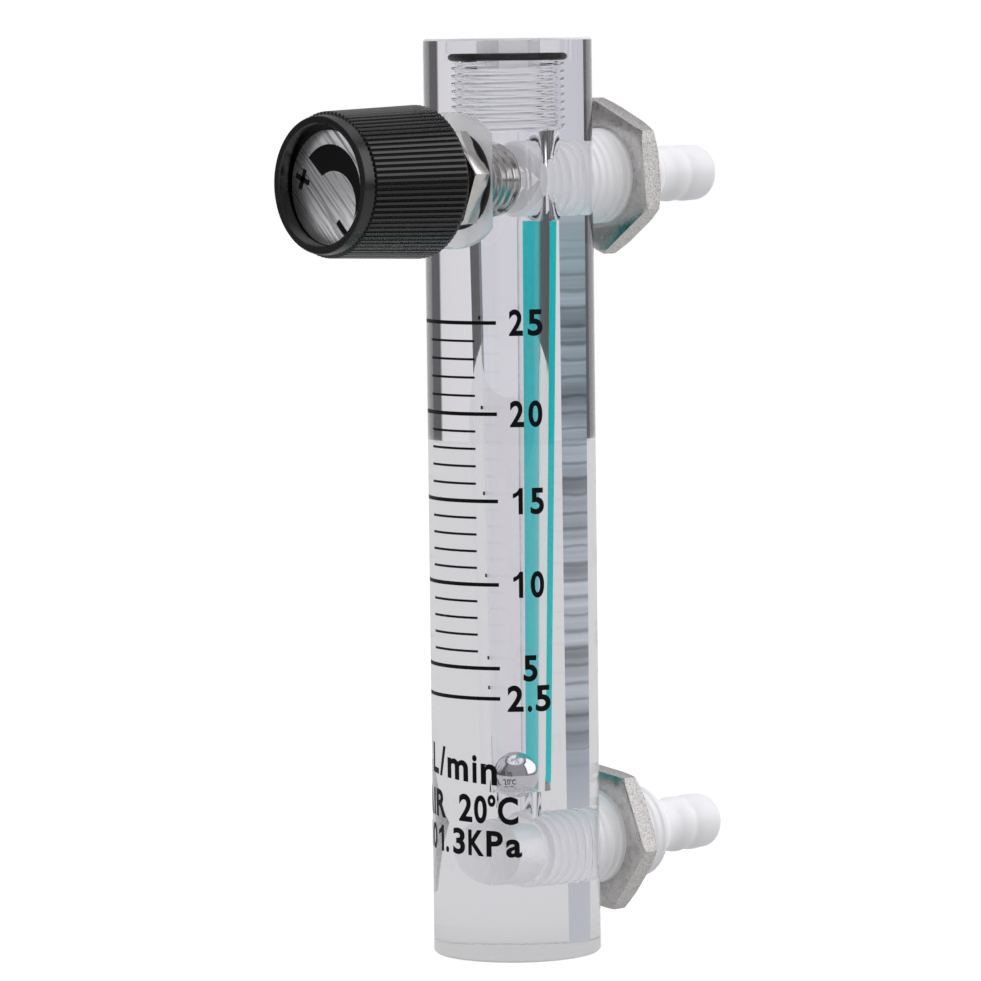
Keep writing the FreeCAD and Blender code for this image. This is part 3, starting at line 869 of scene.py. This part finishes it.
def character_shape(character, boldness):
    """One flat character, one unit thick."""
    if character == "1":
        return outline_plate(FIGURE_ONE, 0.5)
    curve = bpy.data.curves.new("letters", "FONT")
    curve.body = character
    curve.offset = boldness
    curve.extrude = 0.5
    curve.resolution_u = 5
    piece = bpy.data.objects.new("letters", curve)
    bpy.context.scene.collection.objects.link(piece)
    shape = evaluated(piece)
    bmesh.ops.remove_doubles(shape, verts=shape.verts, dist=WELD)
    return shape


def cap_height(boldness):
    """Lower and upper edge of a capital letter of the font at size one."""
    shape = character_shape("H", boldness)
    heights = [vert.co.y for vert in shape.verts]
    shape.free()
    return min(heights), max(heights)


def printed_words(characters, height, cap, fall, settings):
    """Characters wrapped round the rod, each between its two edges in degrees."""
    low_y, high_y = cap_height(settings.boldness)
    pieces = []
    for character, left, right in characters:
        shape = character_shape(character, settings.boldness)
        base, top = (0.0, CAPITAL) if character == "1" else (low_y, high_y)
        places = [vert.co.x for vert in shape.verts]
        left_x = math.radians(left) * ROD_R
        right_x = math.radians(right) * ROD_R
        stretch = (right_x - left_x) / (max(places) - min(places))
        for vert in shape.verts:
            vert.co.x = left_x + (vert.co.x - min(places)) * stretch
            vert.co.y = ((vert.co.y - base) / (top - base) - 0.5) * cap - fall * vert.co.x
        for k in range(1, int((right_x - left_x) / STRIP_WIDTH) + 1):
            sliced(shape, (left_x + k * STRIP_WIDTH, 0, 0), (1, 0, 0))
        pieces.append(shape)
    return on_rod(joined(pieces), height, in_mm(settings.film))


def joined(shapes):
    """One bmesh from several."""
    whole = bmesh.new()
    for shape in shapes:
        mesh = bpy.data.meshes.new("part")
        shape.to_mesh(mesh)
        shape.free()
        whole.from_mesh(mesh)
        bpy.data.meshes.remove(mesh)
    return whole


class ROTAMETER_OT_clear_rod(bpy.types.Operator):
    """Cut the clear rod with all its bores and threads"""

    bl_idname = "rotameter.clear_rod"
    bl_label = "Clear rod"

    def execute(self, context):
        placed("rod_clear", rod_shape(), acrylic_materials(), "root", ["body"], 25.0)
        return {"FINISHED"}


class ROTAMETER_OT_printed_scale(bpy.types.Operator):
    """Print the lines, numbers and words of the scale, and the stripe behind them"""

    bl_idname = "rotameter.printed_scale"
    bl_label = "Printed scale"

    def execute(self, context):
        settings = context.scene.rotameter.print
        film = in_mm(settings.film)
        ink = ink_material("ink_black", tuple(settings.ink))
        lines = [line_on_rod(height, settings.long_line, in_mm(settings.long_weight), film)
                 for height in SCALE_LINES.values()]
        for upper, lower in zip(SHORT_LINES_BETWEEN, SHORT_LINES_BETWEEN[1:]):
            top, bottom = SCALE_LINES[upper], SCALE_LINES[lower]
            for k in range(1, SHORT_LINES + 1):
                height = top + (bottom - top) * k / (SHORT_LINES + 1)
                lines.append(line_on_rod(
                    height, settings.short_line, in_mm(settings.short_weight), film))
        placed("scale_lines", joined(lines), [ink], "root")
        cap = in_mm(settings.number_height)
        words = [printed_words(characters, SCALE_LINES[number], cap, 0.0, settings)
                 for number, characters in SCALE_NUMBERS.items()]
        placed("scale_numbers", joined(words), [ink], "root")
        words = [printed_words(characters, height, cap_mm, fall, settings)
                 for height, cap_mm, fall, characters in SCALE_WORDS]
        placed("scale_words", joined(words), [ink], "root")
        half = in_mm(settings.stripe_width) / 2
        stripe = block(
            (-half, FLAT_Y - film, STRIPE_LOW_Z), (half, FLAT_Y + film, STRIPE_HIGH_Z))
        # Inner face: the paint with a painted glow; outer face: the paint darker, as painted shade
        for face in stripe.faces:
            face.material_index = 1 if face.normal.y > 0.5 else 0
        paint = tuple(settings.stripe)
        inks = [ink_material("stripe_paint_painted_glow", paint, settings.stripe_painted_glow),
                ink_material("stripe_back_painted_shade", shade(paint, 0.6))]
        placed("scale_stripe", stripe, inks, "root")
        return {"FINISHED"}


class ROTAMETER_OT_top_plug(bpy.types.Operator):
    """Turn the clear plug that closes the bore"""

    bl_idname = "rotameter.top_plug"
    bl_label = "Top plug"

    def execute(self, context):
        thread = surfaced(male_thread(PLUG_END_Z, PLUG_SEAL_Z + 0.1), MACHINED)
        head = lathed([
            (PLUG_SEAL_Z, PLUG_NECK_R), (PLUG_HEAD_Z, PLUG_NECK_R), (PLUG_HEAD_Z, PLUG_HEAD_R),
            (ROD_H - PLUG_EDGE, PLUG_HEAD_R), (ROD_H, PLUG_HEAD_R - PLUG_EDGE)])
        socket = surfaced(
            hexagon(PLUG_SOCKET_AF, ROD_H - PLUG_SOCKET_DEPTH, ROD_H + PAST), FROSTED)
        shape = combined(thread, ("UNION", head), ("DIFFERENCE", socket))
        for face in shape.faces:
            middle = face.calc_center_median()
            if middle.z < ROD_H - 0.25 and middle.xy.length > PLUG_SOCKET_AF / 2 + 0.5:
                face.material_index = BONDED
        placed("plug_clear", shape, acrylic_materials(), "root", ["top_plug"], 25.0)
        return {"FINISHED"}


def ring_outline(node, width_share=1.0):
    """Turned outline of a rubber ring, read from the box of its node about its own axis."""
    low, high = (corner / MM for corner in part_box(node))
    size = high - low
    axis = 2 if size.z < size.y else 1
    thickness = size[axis]
    outer = size.x / 2
    middle = outer - thickness * width_share / 2
    points = []
    for k in range(24):
        turn = math.tau * k / 24
        along = (low[axis] + high[axis]) / 2 + thickness / 2 * math.sin(turn)
        points.append((along, middle + thickness * width_share / 2 * math.cos(turn)))
    return points, axis, (low.z + high.z) / 2


class ROTAMETER_OT_seals(bpy.types.Operator):
    """Place the rubber rings"""

    bl_idname = "rotameter.seals"
    bl_label = "Seals"

    def execute(self, context):
        rubber = rubber_material()
        for node, body, share in (
                ("plug_o_ring", "root", 1.0), ("inlet_o_ring", "root", 1.0),
                ("outlet_o_ring", "root", 1.0), ("bonnet_o_ring", "root", 1.5),
                ("stem_o_ring", "stem_seal", 1.0)):
            points, axis, height = ring_outline(node, share)
            shape = turned(points, 72, closed=True)
            if axis == 1:
                along_y(shape, height)
            placed("rubber_" + node, shape, [rubber], body, [node], 60.0)
        return {"FINISHED"}


class ROTAMETER_OT_float_ball(bpy.types.Operator):
    """Place the polished ball on its seat"""

    bl_idname = "rotameter.float_ball"
    bl_label = "Float ball"

    def execute(self, context):
        shape = bmesh.new()
        bmesh.ops.create_icosphere(
            shape, subdivisions=5, radius=BALL_R, matrix=Matrix.Translation(BALL_CENTRE))
        steel = steel_material("ball_polished", BALL_STEEL, 0.04, 0.09, 300.0, (1, 1, 1))
        placed("ball_steel_float", shape, [steel], "float", ["float_ball"], 80.0)
        return {"FINISHED"}


def hose_tail_shape():
    """Hose tail about Z: threaded stub, threaded shank, cone, neck and two soft barbs."""
    stub = male_thread(STUB_END_Y, MOUTH_Y)
    envelope = lathed([
        (STUB_END_Y - PAST, MALE_R - STUB_CHAMFER - PAST),
        (STUB_END_Y + STUB_CHAMFER + 0.2, MALE_R + 0.2), (MOUTH_Y + PAST, MALE_R + 0.2)])
    shank = threaded(SHANK_R, SHANK_ROOT_R, SHANK_PITCH, FLAT_Y, SHANK_END_Y, 0.3, 0.3)
    ends = lathed([
        (FLAT_Y - PAST, SHANK_R + PAST), (SHANK_END_Y - SHANK_CHAMFER - PAST, SHANK_R + PAST),
        (SHANK_END_Y, SHANK_END_R)])
    barb_one = [(NECK_END_Y + (BARB_VALLEY_Y - NECK_END_Y) * k / 10,
                 NECK_R + (BARB_VALLEY_R - NECK_R) * k / 10
                 + (BARB_CREST_R - (NECK_R + BARB_VALLEY_R) / 2) * math.sin(math.pi * k / 10))
                for k in range(11)]
    barb_two = [(BARB_VALLEY_Y + (SECOND_CREST_Y - BARB_VALLEY_Y) * k / 6,
                 BARB_VALLEY_R + (BARB_CREST_R - BARB_VALLEY_R) * math.sin(math.pi / 2 * k / 6))
                for k in range(1, 7)]
    tail = [(SHANK_END_Y - PAST, SHANK_ROOT_R - LAP), (SHANK_END_Y - 0.001, SHANK_END_R - 0.1),
            (CONE_END_Y, CONE_END_R)]
    tail += arc((CONE_END_Y + 1.0, CONE_END_R + 0.35), CONE_FILLET, 200, 270, 5)
    tail += barb_one + barb_two
    tail += arc((TIP_Y - TIP_ROUND, TIP_R - TIP_ROUND), TIP_ROUND, 85, 0, 8)
    neck = round_bar(MALE_ROOT_R, MOUTH_Y - LAP, FLAT_Y + PAST)
    bore = round_bar(HOSE_BORE_R, STUB_END_Y - PAST, TIP_Y + PAST)
    return combined(
        stub, ("INTERSECT", envelope), ("UNION", neck),
        ("UNION", combined(shank, ("INTERSECT", ends))), ("UNION", lathed(tail, 96)),
        ("DIFFERENCE", bore))


class ROTAMETER_OT_hose_fittings(bpy.types.Operator):
    """Mould the two white hose tails"""

    bl_idname = "rotameter.hose_fittings"
    bl_label = "Hose fittings"

    def execute(self, context):
        nylon = nylon_material()
        tail = hose_tail_shape()
        for side, height in (("inlet", INLET_Z), ("outlet", OUTLET_Z)):
            placed(
                side + "_hose_tail", along_y(tail.copy(), height), [nylon], "root",
                [side + "_fitting"], 35.0)
        tail.free()
        return {"FINISHED"}


def refined_copy(node, width):
    """Bmesh in millimetres of a node's solid, welded and with its edges rounded."""
    shape = bmesh.new()
    shape.from_mesh(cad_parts[node].data)
    bmesh.ops.scale(shape, vec=(1 / MM, 1 / MM, 1 / MM), verts=shape.verts)
    bmesh.ops.remove_doubles(shape, verts=shape.verts, dist=WELD)
    return softened(shape, width)


class ROTAMETER_OT_panel_nuts(bpy.types.Operator):
    """Finish the thin panel nuts, bright on their faces and sawn on their flats"""

    bl_idname = "rotameter.panel_nuts"
    bl_label = "Panel nuts"

    def execute(self, context):
        # Faces take the nickel at 0.92, a painted shade, and the sawn flats at 1.04 with rougher,
        # bumpier marks
        bright = nickel_material("nut_face_painted_shade", 0.92, 0.22, 0.36, 0.00003, 900.0, contrast=0.18)
        sawn = nickel_material("nut_sawn", 1.04, 0.24, 0.4, 0.00025, 4000.0, contrast=0.38)
        for side in ("inlet", "outlet"):
            shape = refined_copy(side + "_nut", 0.12)
            for face in shape.faces:
                flat = abs(face.normal.y) < 0.2 and face.calc_area() > 5
                face.material_index = 1 if flat else 0
            placed(
                side + "_panel_nut", shape, [bright, sawn], "root", [side + "_nut"])
        return {"FINISHED"}


class ROTAMETER_OT_valve_bonnet(bpy.types.Operator):
    """Turn the hexagon insert of the valve"""

    bl_idname = "rotameter.valve_bonnet"
    bl_label = "Valve bonnet"

    def execute(self, context):
        corner = HEX_AF / math.sqrt(3)
        head = softened(combined(
            hexagon(HEX_AF, HEX_FRONT_Y, HEX_BACK_Y, -HEX_TURN),
            ("INTERSECT", lathed([
                (HEX_FRONT_Y, corner - HEX_CORNER_CUT),
                (HEX_FRONT_Y + HEX_CORNER_CUT, corner + 0.01),
                (HEX_BACK_Y, corner + 0.01)]))), 0.08)
        thread = male_thread(HEX_BACK_Y - LAP, BONNET_END_Y)
        nose = lathed([
            (HEX_BACK_Y - PAST, MALE_R + PAST),
            (BONNET_END_Y - BONNET_NOSE - PAST, MALE_R + PAST),
            (BONNET_END_Y, MALE_R - BONNET_NOSE)])
        bore = lathed([
            (HEX_FRONT_Y - PAST, STEM_BORE_R), (PISTON_SHOULDER_Y, STEM_BORE_R),
            (PISTON_SHOULDER_Y, PISTON_BORE_R), (BONNET_END_Y + PAST, PISTON_BORE_R)])
        shape = combined(
            head, ("UNION", combined(thread, ("INTERSECT", nose))), ("DIFFERENCE", bore))
        plate = nickel_material("bonnet_plate", 1.06, 0.1, 0.2, 0.000008, 700.0)
        placed(
            "bonnet_insert", along_y(shape, OUTLET_Z), [plate], "root",
            ["valve_bonnet"])
        return {"FINISHED"}


class ROTAMETER_OT_needle_stem(bpy.types.Operator):
    """Finish the needle stem and the screw that holds the knob on it"""

    bl_idname = "rotameter.needle_stem"
    bl_label = "Needle stem"

    def execute(self, context):
        steel = steel_material("stem_turned", STEM_STEEL, 0.15, 0.3, 300.0, (1, 30, 1))
        for node, name in (("needle_stem", "stem_needle"), ("knob_set_screw", "screw_knob")):
            placed(name, refined_copy(node, 0.05), [steel], "knob", [node])
        return {"FINISHED"}


def knob_shape():
    """Fluted knob about Z, its front at the low end."""
    settings = bpy.context.scene.rotameter.knob
    depth = in_mm(settings.flute_depth)
    pitch = len(FLUTE_PROFILE)
    shape = bmesh.new()
    ring = bmesh.ops.create_circle(
        shape, cap_ends=True, radius=KNOB_RIM_R, segments=settings.flutes * pitch)["verts"]
    ring.sort(key=lambda vert: math.atan2(vert.co.y, vert.co.x) % math.tau)
    sunken = []
    for number, vert in enumerate(ring):
        share, sunk = FLUTE_PROFILE[number % pitch]
        turn = math.tau * (number // pitch + share) / settings.flutes
        sunken.append(depth * sunk)
        vert.co = Vector((KNOB_RIM_R * math.cos(turn), KNOB_RIM_R * math.sin(turn), KNOB_FRONT_Y))
    face = shape.faces[:]

    def next_ring(places):
        """Extrude the last ring and put its points at (height, radius)."""
        made = bmesh.ops.extrude_face_region(shape, geom=face)
        face[:] = [item for item in made["geom"] if isinstance(item, bmesh.types.BMFace)]
        for vert in (item for item in made["geom"] if isinstance(item, bmesh.types.BMVert)):
            near = math.atan2(vert.co.y, vert.co.x) % math.tau
            number = min(range(len(turns)), key=lambda k: abs(turns[k] - near))
            height, radius = places[number]
            turn = turns[number]
            vert.co = Vector((radius * math.cos(turn), radius * math.sin(turn), height))

    turns = [math.atan2(vert.co.y, vert.co.x) % math.tau for vert in ring]
    low, high = KNOB_RIM_END_Y, KNOB_BACK_Y
    count = len(sunken)
    next_ring([(KNOB_FRONT_Y + KNOB_EDGE, KNOB_RIM_R + 0.1)] * count)
    next_ring([(low - 0.08, KNOB_RIM_BACK_R - 0.01)] * count)
    next_ring([(low, KNOB_RIM_BACK_R)] * count)
    next_ring([(low + 0.02, KNOB_LANDS_FRONT_R - 0.08 - sunk * 0.8) for sunk in sunken])
    next_ring([(low + 0.1, KNOB_LANDS_FRONT_R - sunk) for sunk in sunken])
    radii = [KNOB_R - sunk for sunk in sunken]
    next_ring([(high - max(0.0, radius - KNOB_R + KNOB_BACK_CHAMFER), radius) for radius in radii])
    next_ring([(high, min(radius, KNOB_R - KNOB_BACK_CHAMFER)) for radius in radii])
    bmesh.ops.remove_doubles(shape, verts=shape.verts, dist=WELD)
    return outwards(shape)


class ROTAMETER_OT_knob(bpy.types.Operator):
    """Shape the fluted knob"""

    bl_idname = "rotameter.knob"
    bl_label = "Knob"

    def execute(self, context):
        recess = lathed([
            (KNOB_FRONT_Y - PAST, KNOB_RECESS_R + PAST + KNOB_RECESS_CHAMFER),
            (KNOB_FRONT_Y + KNOB_RECESS_CHAMFER, KNOB_RECESS_R),
            (KNOB_FLOOR_Y, KNOB_RECESS_R)], 144)
        bore = round_bar(KNOB_BORE_R, KNOB_BORE_END_Y, KNOB_BACK_Y + PAST, 48)
        shape = along_y(
            combined(knob_shape(), ("DIFFERENCE", recess), ("DIFFERENCE", bore)), OUTLET_Z)
        hole = round_bar(SCREW_HOLE_R, 0, KNOB_R + PAST, 48)
        moved(hole, -90, "Y", (0, SCREW_Y, OUTLET_Z))
        shape = combined(shape, ("DIFFERENCE", hole))
        placed("knob_fluted", shape, [anodised_material()], "knob", ["knob"], 22.0)
        return {"FINISHED"}


def bulge(start, through, end, count):
    """Points of the circle that runs through three places, end included and start not."""
    (ax, ay), (bx, by), (cx, cy) = start, through, end
    d = 2 * (ax * (by - cy) + bx * (cy - ay) + cx * (ay - by))
    squares = [x * x + y * y for x, y in (start, through, end)]
    x = (squares[0] * (by - cy) + squares[1] * (cy - ay) + squares[2] * (ay - by)) / d
    y = (squares[0] * (cx - bx) + squares[1] * (ax - cx) + squares[2] * (bx - ax)) / d
    radius = math.hypot(ax - x, ay - y)
    first = math.atan2(ay - y, ax - x)
    last = math.atan2(cy - y, cx - x)
    middle = math.atan2(by - y, bx - x)
    turn = math.tau if ((middle - first) % math.tau) < ((last - first) % math.tau) else -math.tau
    sweep = (last - first) % turn
    return [(x + radius * math.cos(first + sweep * k / count),
             y + radius * math.sin(first + sweep * k / count)) for k in range(1, count + 1)]


def label_marks():
    """Plus, minus and tapering arc, as thin plates on the label in its own x and z."""
    plates = []
    for along, across, turn, place in MARK_BARS:
        bar = block((-along / 2, -across / 2, -LABEL_FILM), (along / 2, across / 2, LABEL_FILM))
        plates.append(moved(bar, turn, "Z", (*place, 0)))
    far, near, tip = MOON_CORNERS
    outline = [far] + bulge(far, MOON_OUTER, tip, 26) + bulge(tip, MOON_INNER, near, 22)
    plates.append(outline_plate(outline, LABEL_FILM))
    # x stays, y becomes height and the plates lie in the front face of the label
    return moved(joined(plates), 90, "X", (0, LABEL_Y, OUTLET_Z))


class ROTAMETER_OT_knob_label(bpy.types.Operator):
    """Brush the label and print its marks"""

    bl_idname = "rotameter.knob_label"
    bl_label = "Knob label"

    def execute(self, context):
        placed(
            "label_disc", refined_copy("knob_label", 0.06), [brushed_material()], "knob",
            ["knob_label"])
        ink = ink_material("label_ink", tuple(context.scene.rotameter.print.ink))
        placed("label_marks", label_marks(), [ink], "knob")
        return {"FINISHED"}


def camera_axes():
    """Right, up and backward directions of the camera."""
    forward = Vector((
        -math.sin(CAMERA_YAW) * math.cos(CAMERA_PITCH),
        math.cos(CAMERA_YAW) * math.cos(CAMERA_PITCH),
        math.sin(CAMERA_PITCH)))
    level = Vector((math.cos(CAMERA_YAW), math.sin(CAMERA_YAW), 0))
    upright = level.cross(forward)
    right = level * math.cos(CAMERA_ROLL) + upright * math.sin(CAMERA_ROLL)
    up = upright * math.cos(CAMERA_ROLL) - level * math.sin(CAMERA_ROLL)
    return right, up, -forward


def place_camera():
    """Camera at the photograph's viewing angle."""
    data = bpy.data.cameras.new("camera")
    data.sensor_width = SENSOR_MM
    data.lens = FOCAL_PIXELS * SENSOR_MM / IMAGE_PIXELS
    data.clip_start = 0.01
    data.clip_end = 20.0
    camera = bpy.data.objects.new("camera", data)
    axes = Matrix(camera_axes()).transposed().to_4x4()
    camera.matrix_world = Matrix.Translation(CAMERA_PLACE * MM) @ axes
    bpy.context.scene.collection.objects.link(camera)
    bpy.context.scene.camera = camera


def light_world(settings):
    """White backdrop ahead, a darker room beside it and a soft light overhead."""
    world = bpy.data.worlds.new("studio")
    w = Nodes(world)
    direction = w.node("ShaderNodeTexCoord").outputs["Generated"]

    def dot(first, second):
        """Dot product of a direction and a fixed one."""
        node = w.node("ShaderNodeVectorMath", operation="DOT_PRODUCT")
        w.link(first, node, 0)
        node.inputs[1].default_value = second
        return node.outputs["Value"]

    def band(value, low, high, first, second):
        """Soft step from the first value to the second, each plain or an output."""
        node = w.node("ShaderNodeMapRange", interpolation_type="SMOOTHSTEP")
        w.link(value, node, 0)
        for number, thing in enumerate((low, high, first, second), 1):
            if isinstance(thing, bpy.types.NodeSocket):
                w.link(thing, node, number)
            else:
                node.inputs[number].default_value = thing
        return node.outputs["Result"]

    def heading(yaw):
        """Level direction at an angle left of +Y."""
        return -math.sin(yaw), math.cos(yaw), 0

    flat = w.maths("MULTIPLY", direction, (1, 1, 0), "ShaderNodeVectorMath")
    level = w.node("ShaderNodeVectorMath", operation="NORMALIZE")
    w.link(flat, level, 0)
    level = level.outputs["Vector"]
    ahead = dot(level, heading(CAMERA_YAW))
    rise = dot(direction, (0, 0, 1))

    def lamp(bearing, half_width, low, high):
        """Where a lamp shows, in degrees right of the camera's heading and above the floor."""
        beside = dot(level, heading(CAMERA_YAW - math.radians(bearing)))
        inner, outer = (math.cos(math.radians(half_width + more)) for more in (0, 3))
        shown = band(beside, outer, inner, 0.0, 1.0)
        first, last = (math.sin(math.radians(edge)) for edge in (low, low + 10))
        shown = band(rise, first, last, 0.0, shown)
        first, last = (math.sin(math.radians(edge)) for edge in (high - 4, high))
        return band(rise, first, last, shown, 0.0)

    edge = math.cos(settings.backdrop)
    behind = band(rise, 0.03, 0.12, settings.backdrop_light, settings.backdrop_light * 0.65)
    sides = band(ahead, edge - 0.02, edge + 0.02, settings.surround, behind)
    around = band(ahead, -edge - 0.05, -edge + 0.05, settings.front, sides)
    lit = band(lamp(*RIGHT_LAMP), 0.0, 1.0, around, settings.softbox)
    lit = band(lamp(*LEFT_LAMP), 0.0, 1.0, lit, settings.fill)
    background = w.tree.nodes["Background"]
    w.link(band(rise, 0.78, 0.9, lit, settings.overhead), background, "Strength")
    background.inputs["Color"].default_value = (0.985, 0.975, 1.0, 1.0)
    # The camera itself sees plain white
    white = w.node("ShaderNodeBackground", Color=(1, 1, 1, 1))
    seen = w.node("ShaderNodeLightPath").outputs["Is Camera Ray"]
    w.mix(seen, background.outputs["Background"], white.outputs["Background"], "World Output")
    bpy.context.scene.world = world


def lay_floor(settings):
    """Pale floor that shows white to the camera and keeps the shadow."""
    shape = bmesh.new()
    bmesh.ops.create_circle(shape, cap_ends=True, radius=settings.floor_radius, segments=96)
    material = bpy.data.materials.new("floor_pale")
    f = Nodes(material)
    f.tree.nodes.remove(f.tree.nodes["Principled BSDF"])
    paper = f.node("ShaderNodeBsdfDiffuse", Color=(0.3, 0.3, 0.3, 1))
    glow = f.node("ShaderNodeEmission")
    seen = f.node("ShaderNodeLightPath").outputs
    direct = f.maths("MULTIPLY", seen["Is Camera Ray"], 0.85)
    bent = f.maths("MAXIMUM", seen["Is Glossy Ray"], seen["Is Transmission Ray"])
    bent = f.maths("MULTIPLY", bent, settings.floor_glow)
    f.link(f.maths("ADD", direct, bent), glow, "Strength")
    both = f.node("ShaderNodeAddShader")
    f.link(paper.outputs["BSDF"], both, 0)
    f.link(glow.outputs["Emission"], both, 1)
    f.link(both.outputs["Shader"], f.tree.nodes["Material Output"], "Surface")
    as_object("floor", shape, [material])


class ROTAMETER_OT_stage(bpy.types.Operator):
    """Place the camera, the floor and the light"""

    bl_idname = "rotameter.stage"
    bl_label = "Stage"

    def execute(self, context):
        settings = context.scene.rotameter.stage
        place_camera()
        light_world(settings)
        lay_floor(settings)
        context.scene.view_settings.view_transform = "Standard"
        return {"FINISHED"}


class ROTAMETER_PT_panel(bpy.types.Panel):
    """Buttons for every piece of the rotameter"""

    bl_idname = "ROTAMETER_PT_panel"
    bl_label = "Rotameter"
    bl_space_type = "VIEW_3D"
    bl_region_type = "UI"
    bl_category = "Rotameter"

    def draw(self, context):
        for operator in OPERATORS:
            self.layout.operator(operator.bl_idname)


OPERATORS = (
    ROTAMETER_OT_stage,
    ROTAMETER_OT_clear_rod,
    ROTAMETER_OT_printed_scale,
    ROTAMETER_OT_top_plug,
    ROTAMETER_OT_seals,
    ROTAMETER_OT_float_ball,
    ROTAMETER_OT_hose_fittings,
    ROTAMETER_OT_panel_nuts,
    ROTAMETER_OT_valve_bonnet,
    ROTAMETER_OT_needle_stem,
    ROTAMETER_OT_knob,
    ROTAMETER_OT_knob_label,
)
GROUPS = (PrintSettings, KnobSettings, FinishSettings, StageSettings, RotameterSettings)


def register():
    """Register the classes and hang the settings on the scene."""
    for item in (*GROUPS, *OPERATORS, ROTAMETER_PT_panel):
        bpy.utils.register_class(item)
    bpy.types.Scene.rotameter = PointerProperty(type=RotameterSettings)


def unregister():
    """Take the settings and the classes out again."""
    del bpy.types.Scene.rotameter
    for item in reversed((*GROUPS, *OPERATORS, ROTAMETER_PT_panel)):
        bpy.utils.unregister_class(item)


def main():
    """Build every piece in order."""
    register()
    for operator in OPERATORS:
        group, name = operator.bl_idname.split(".")
        getattr(getattr(bpy.ops, group), name)()


if __name__ == "__main__":
    main()
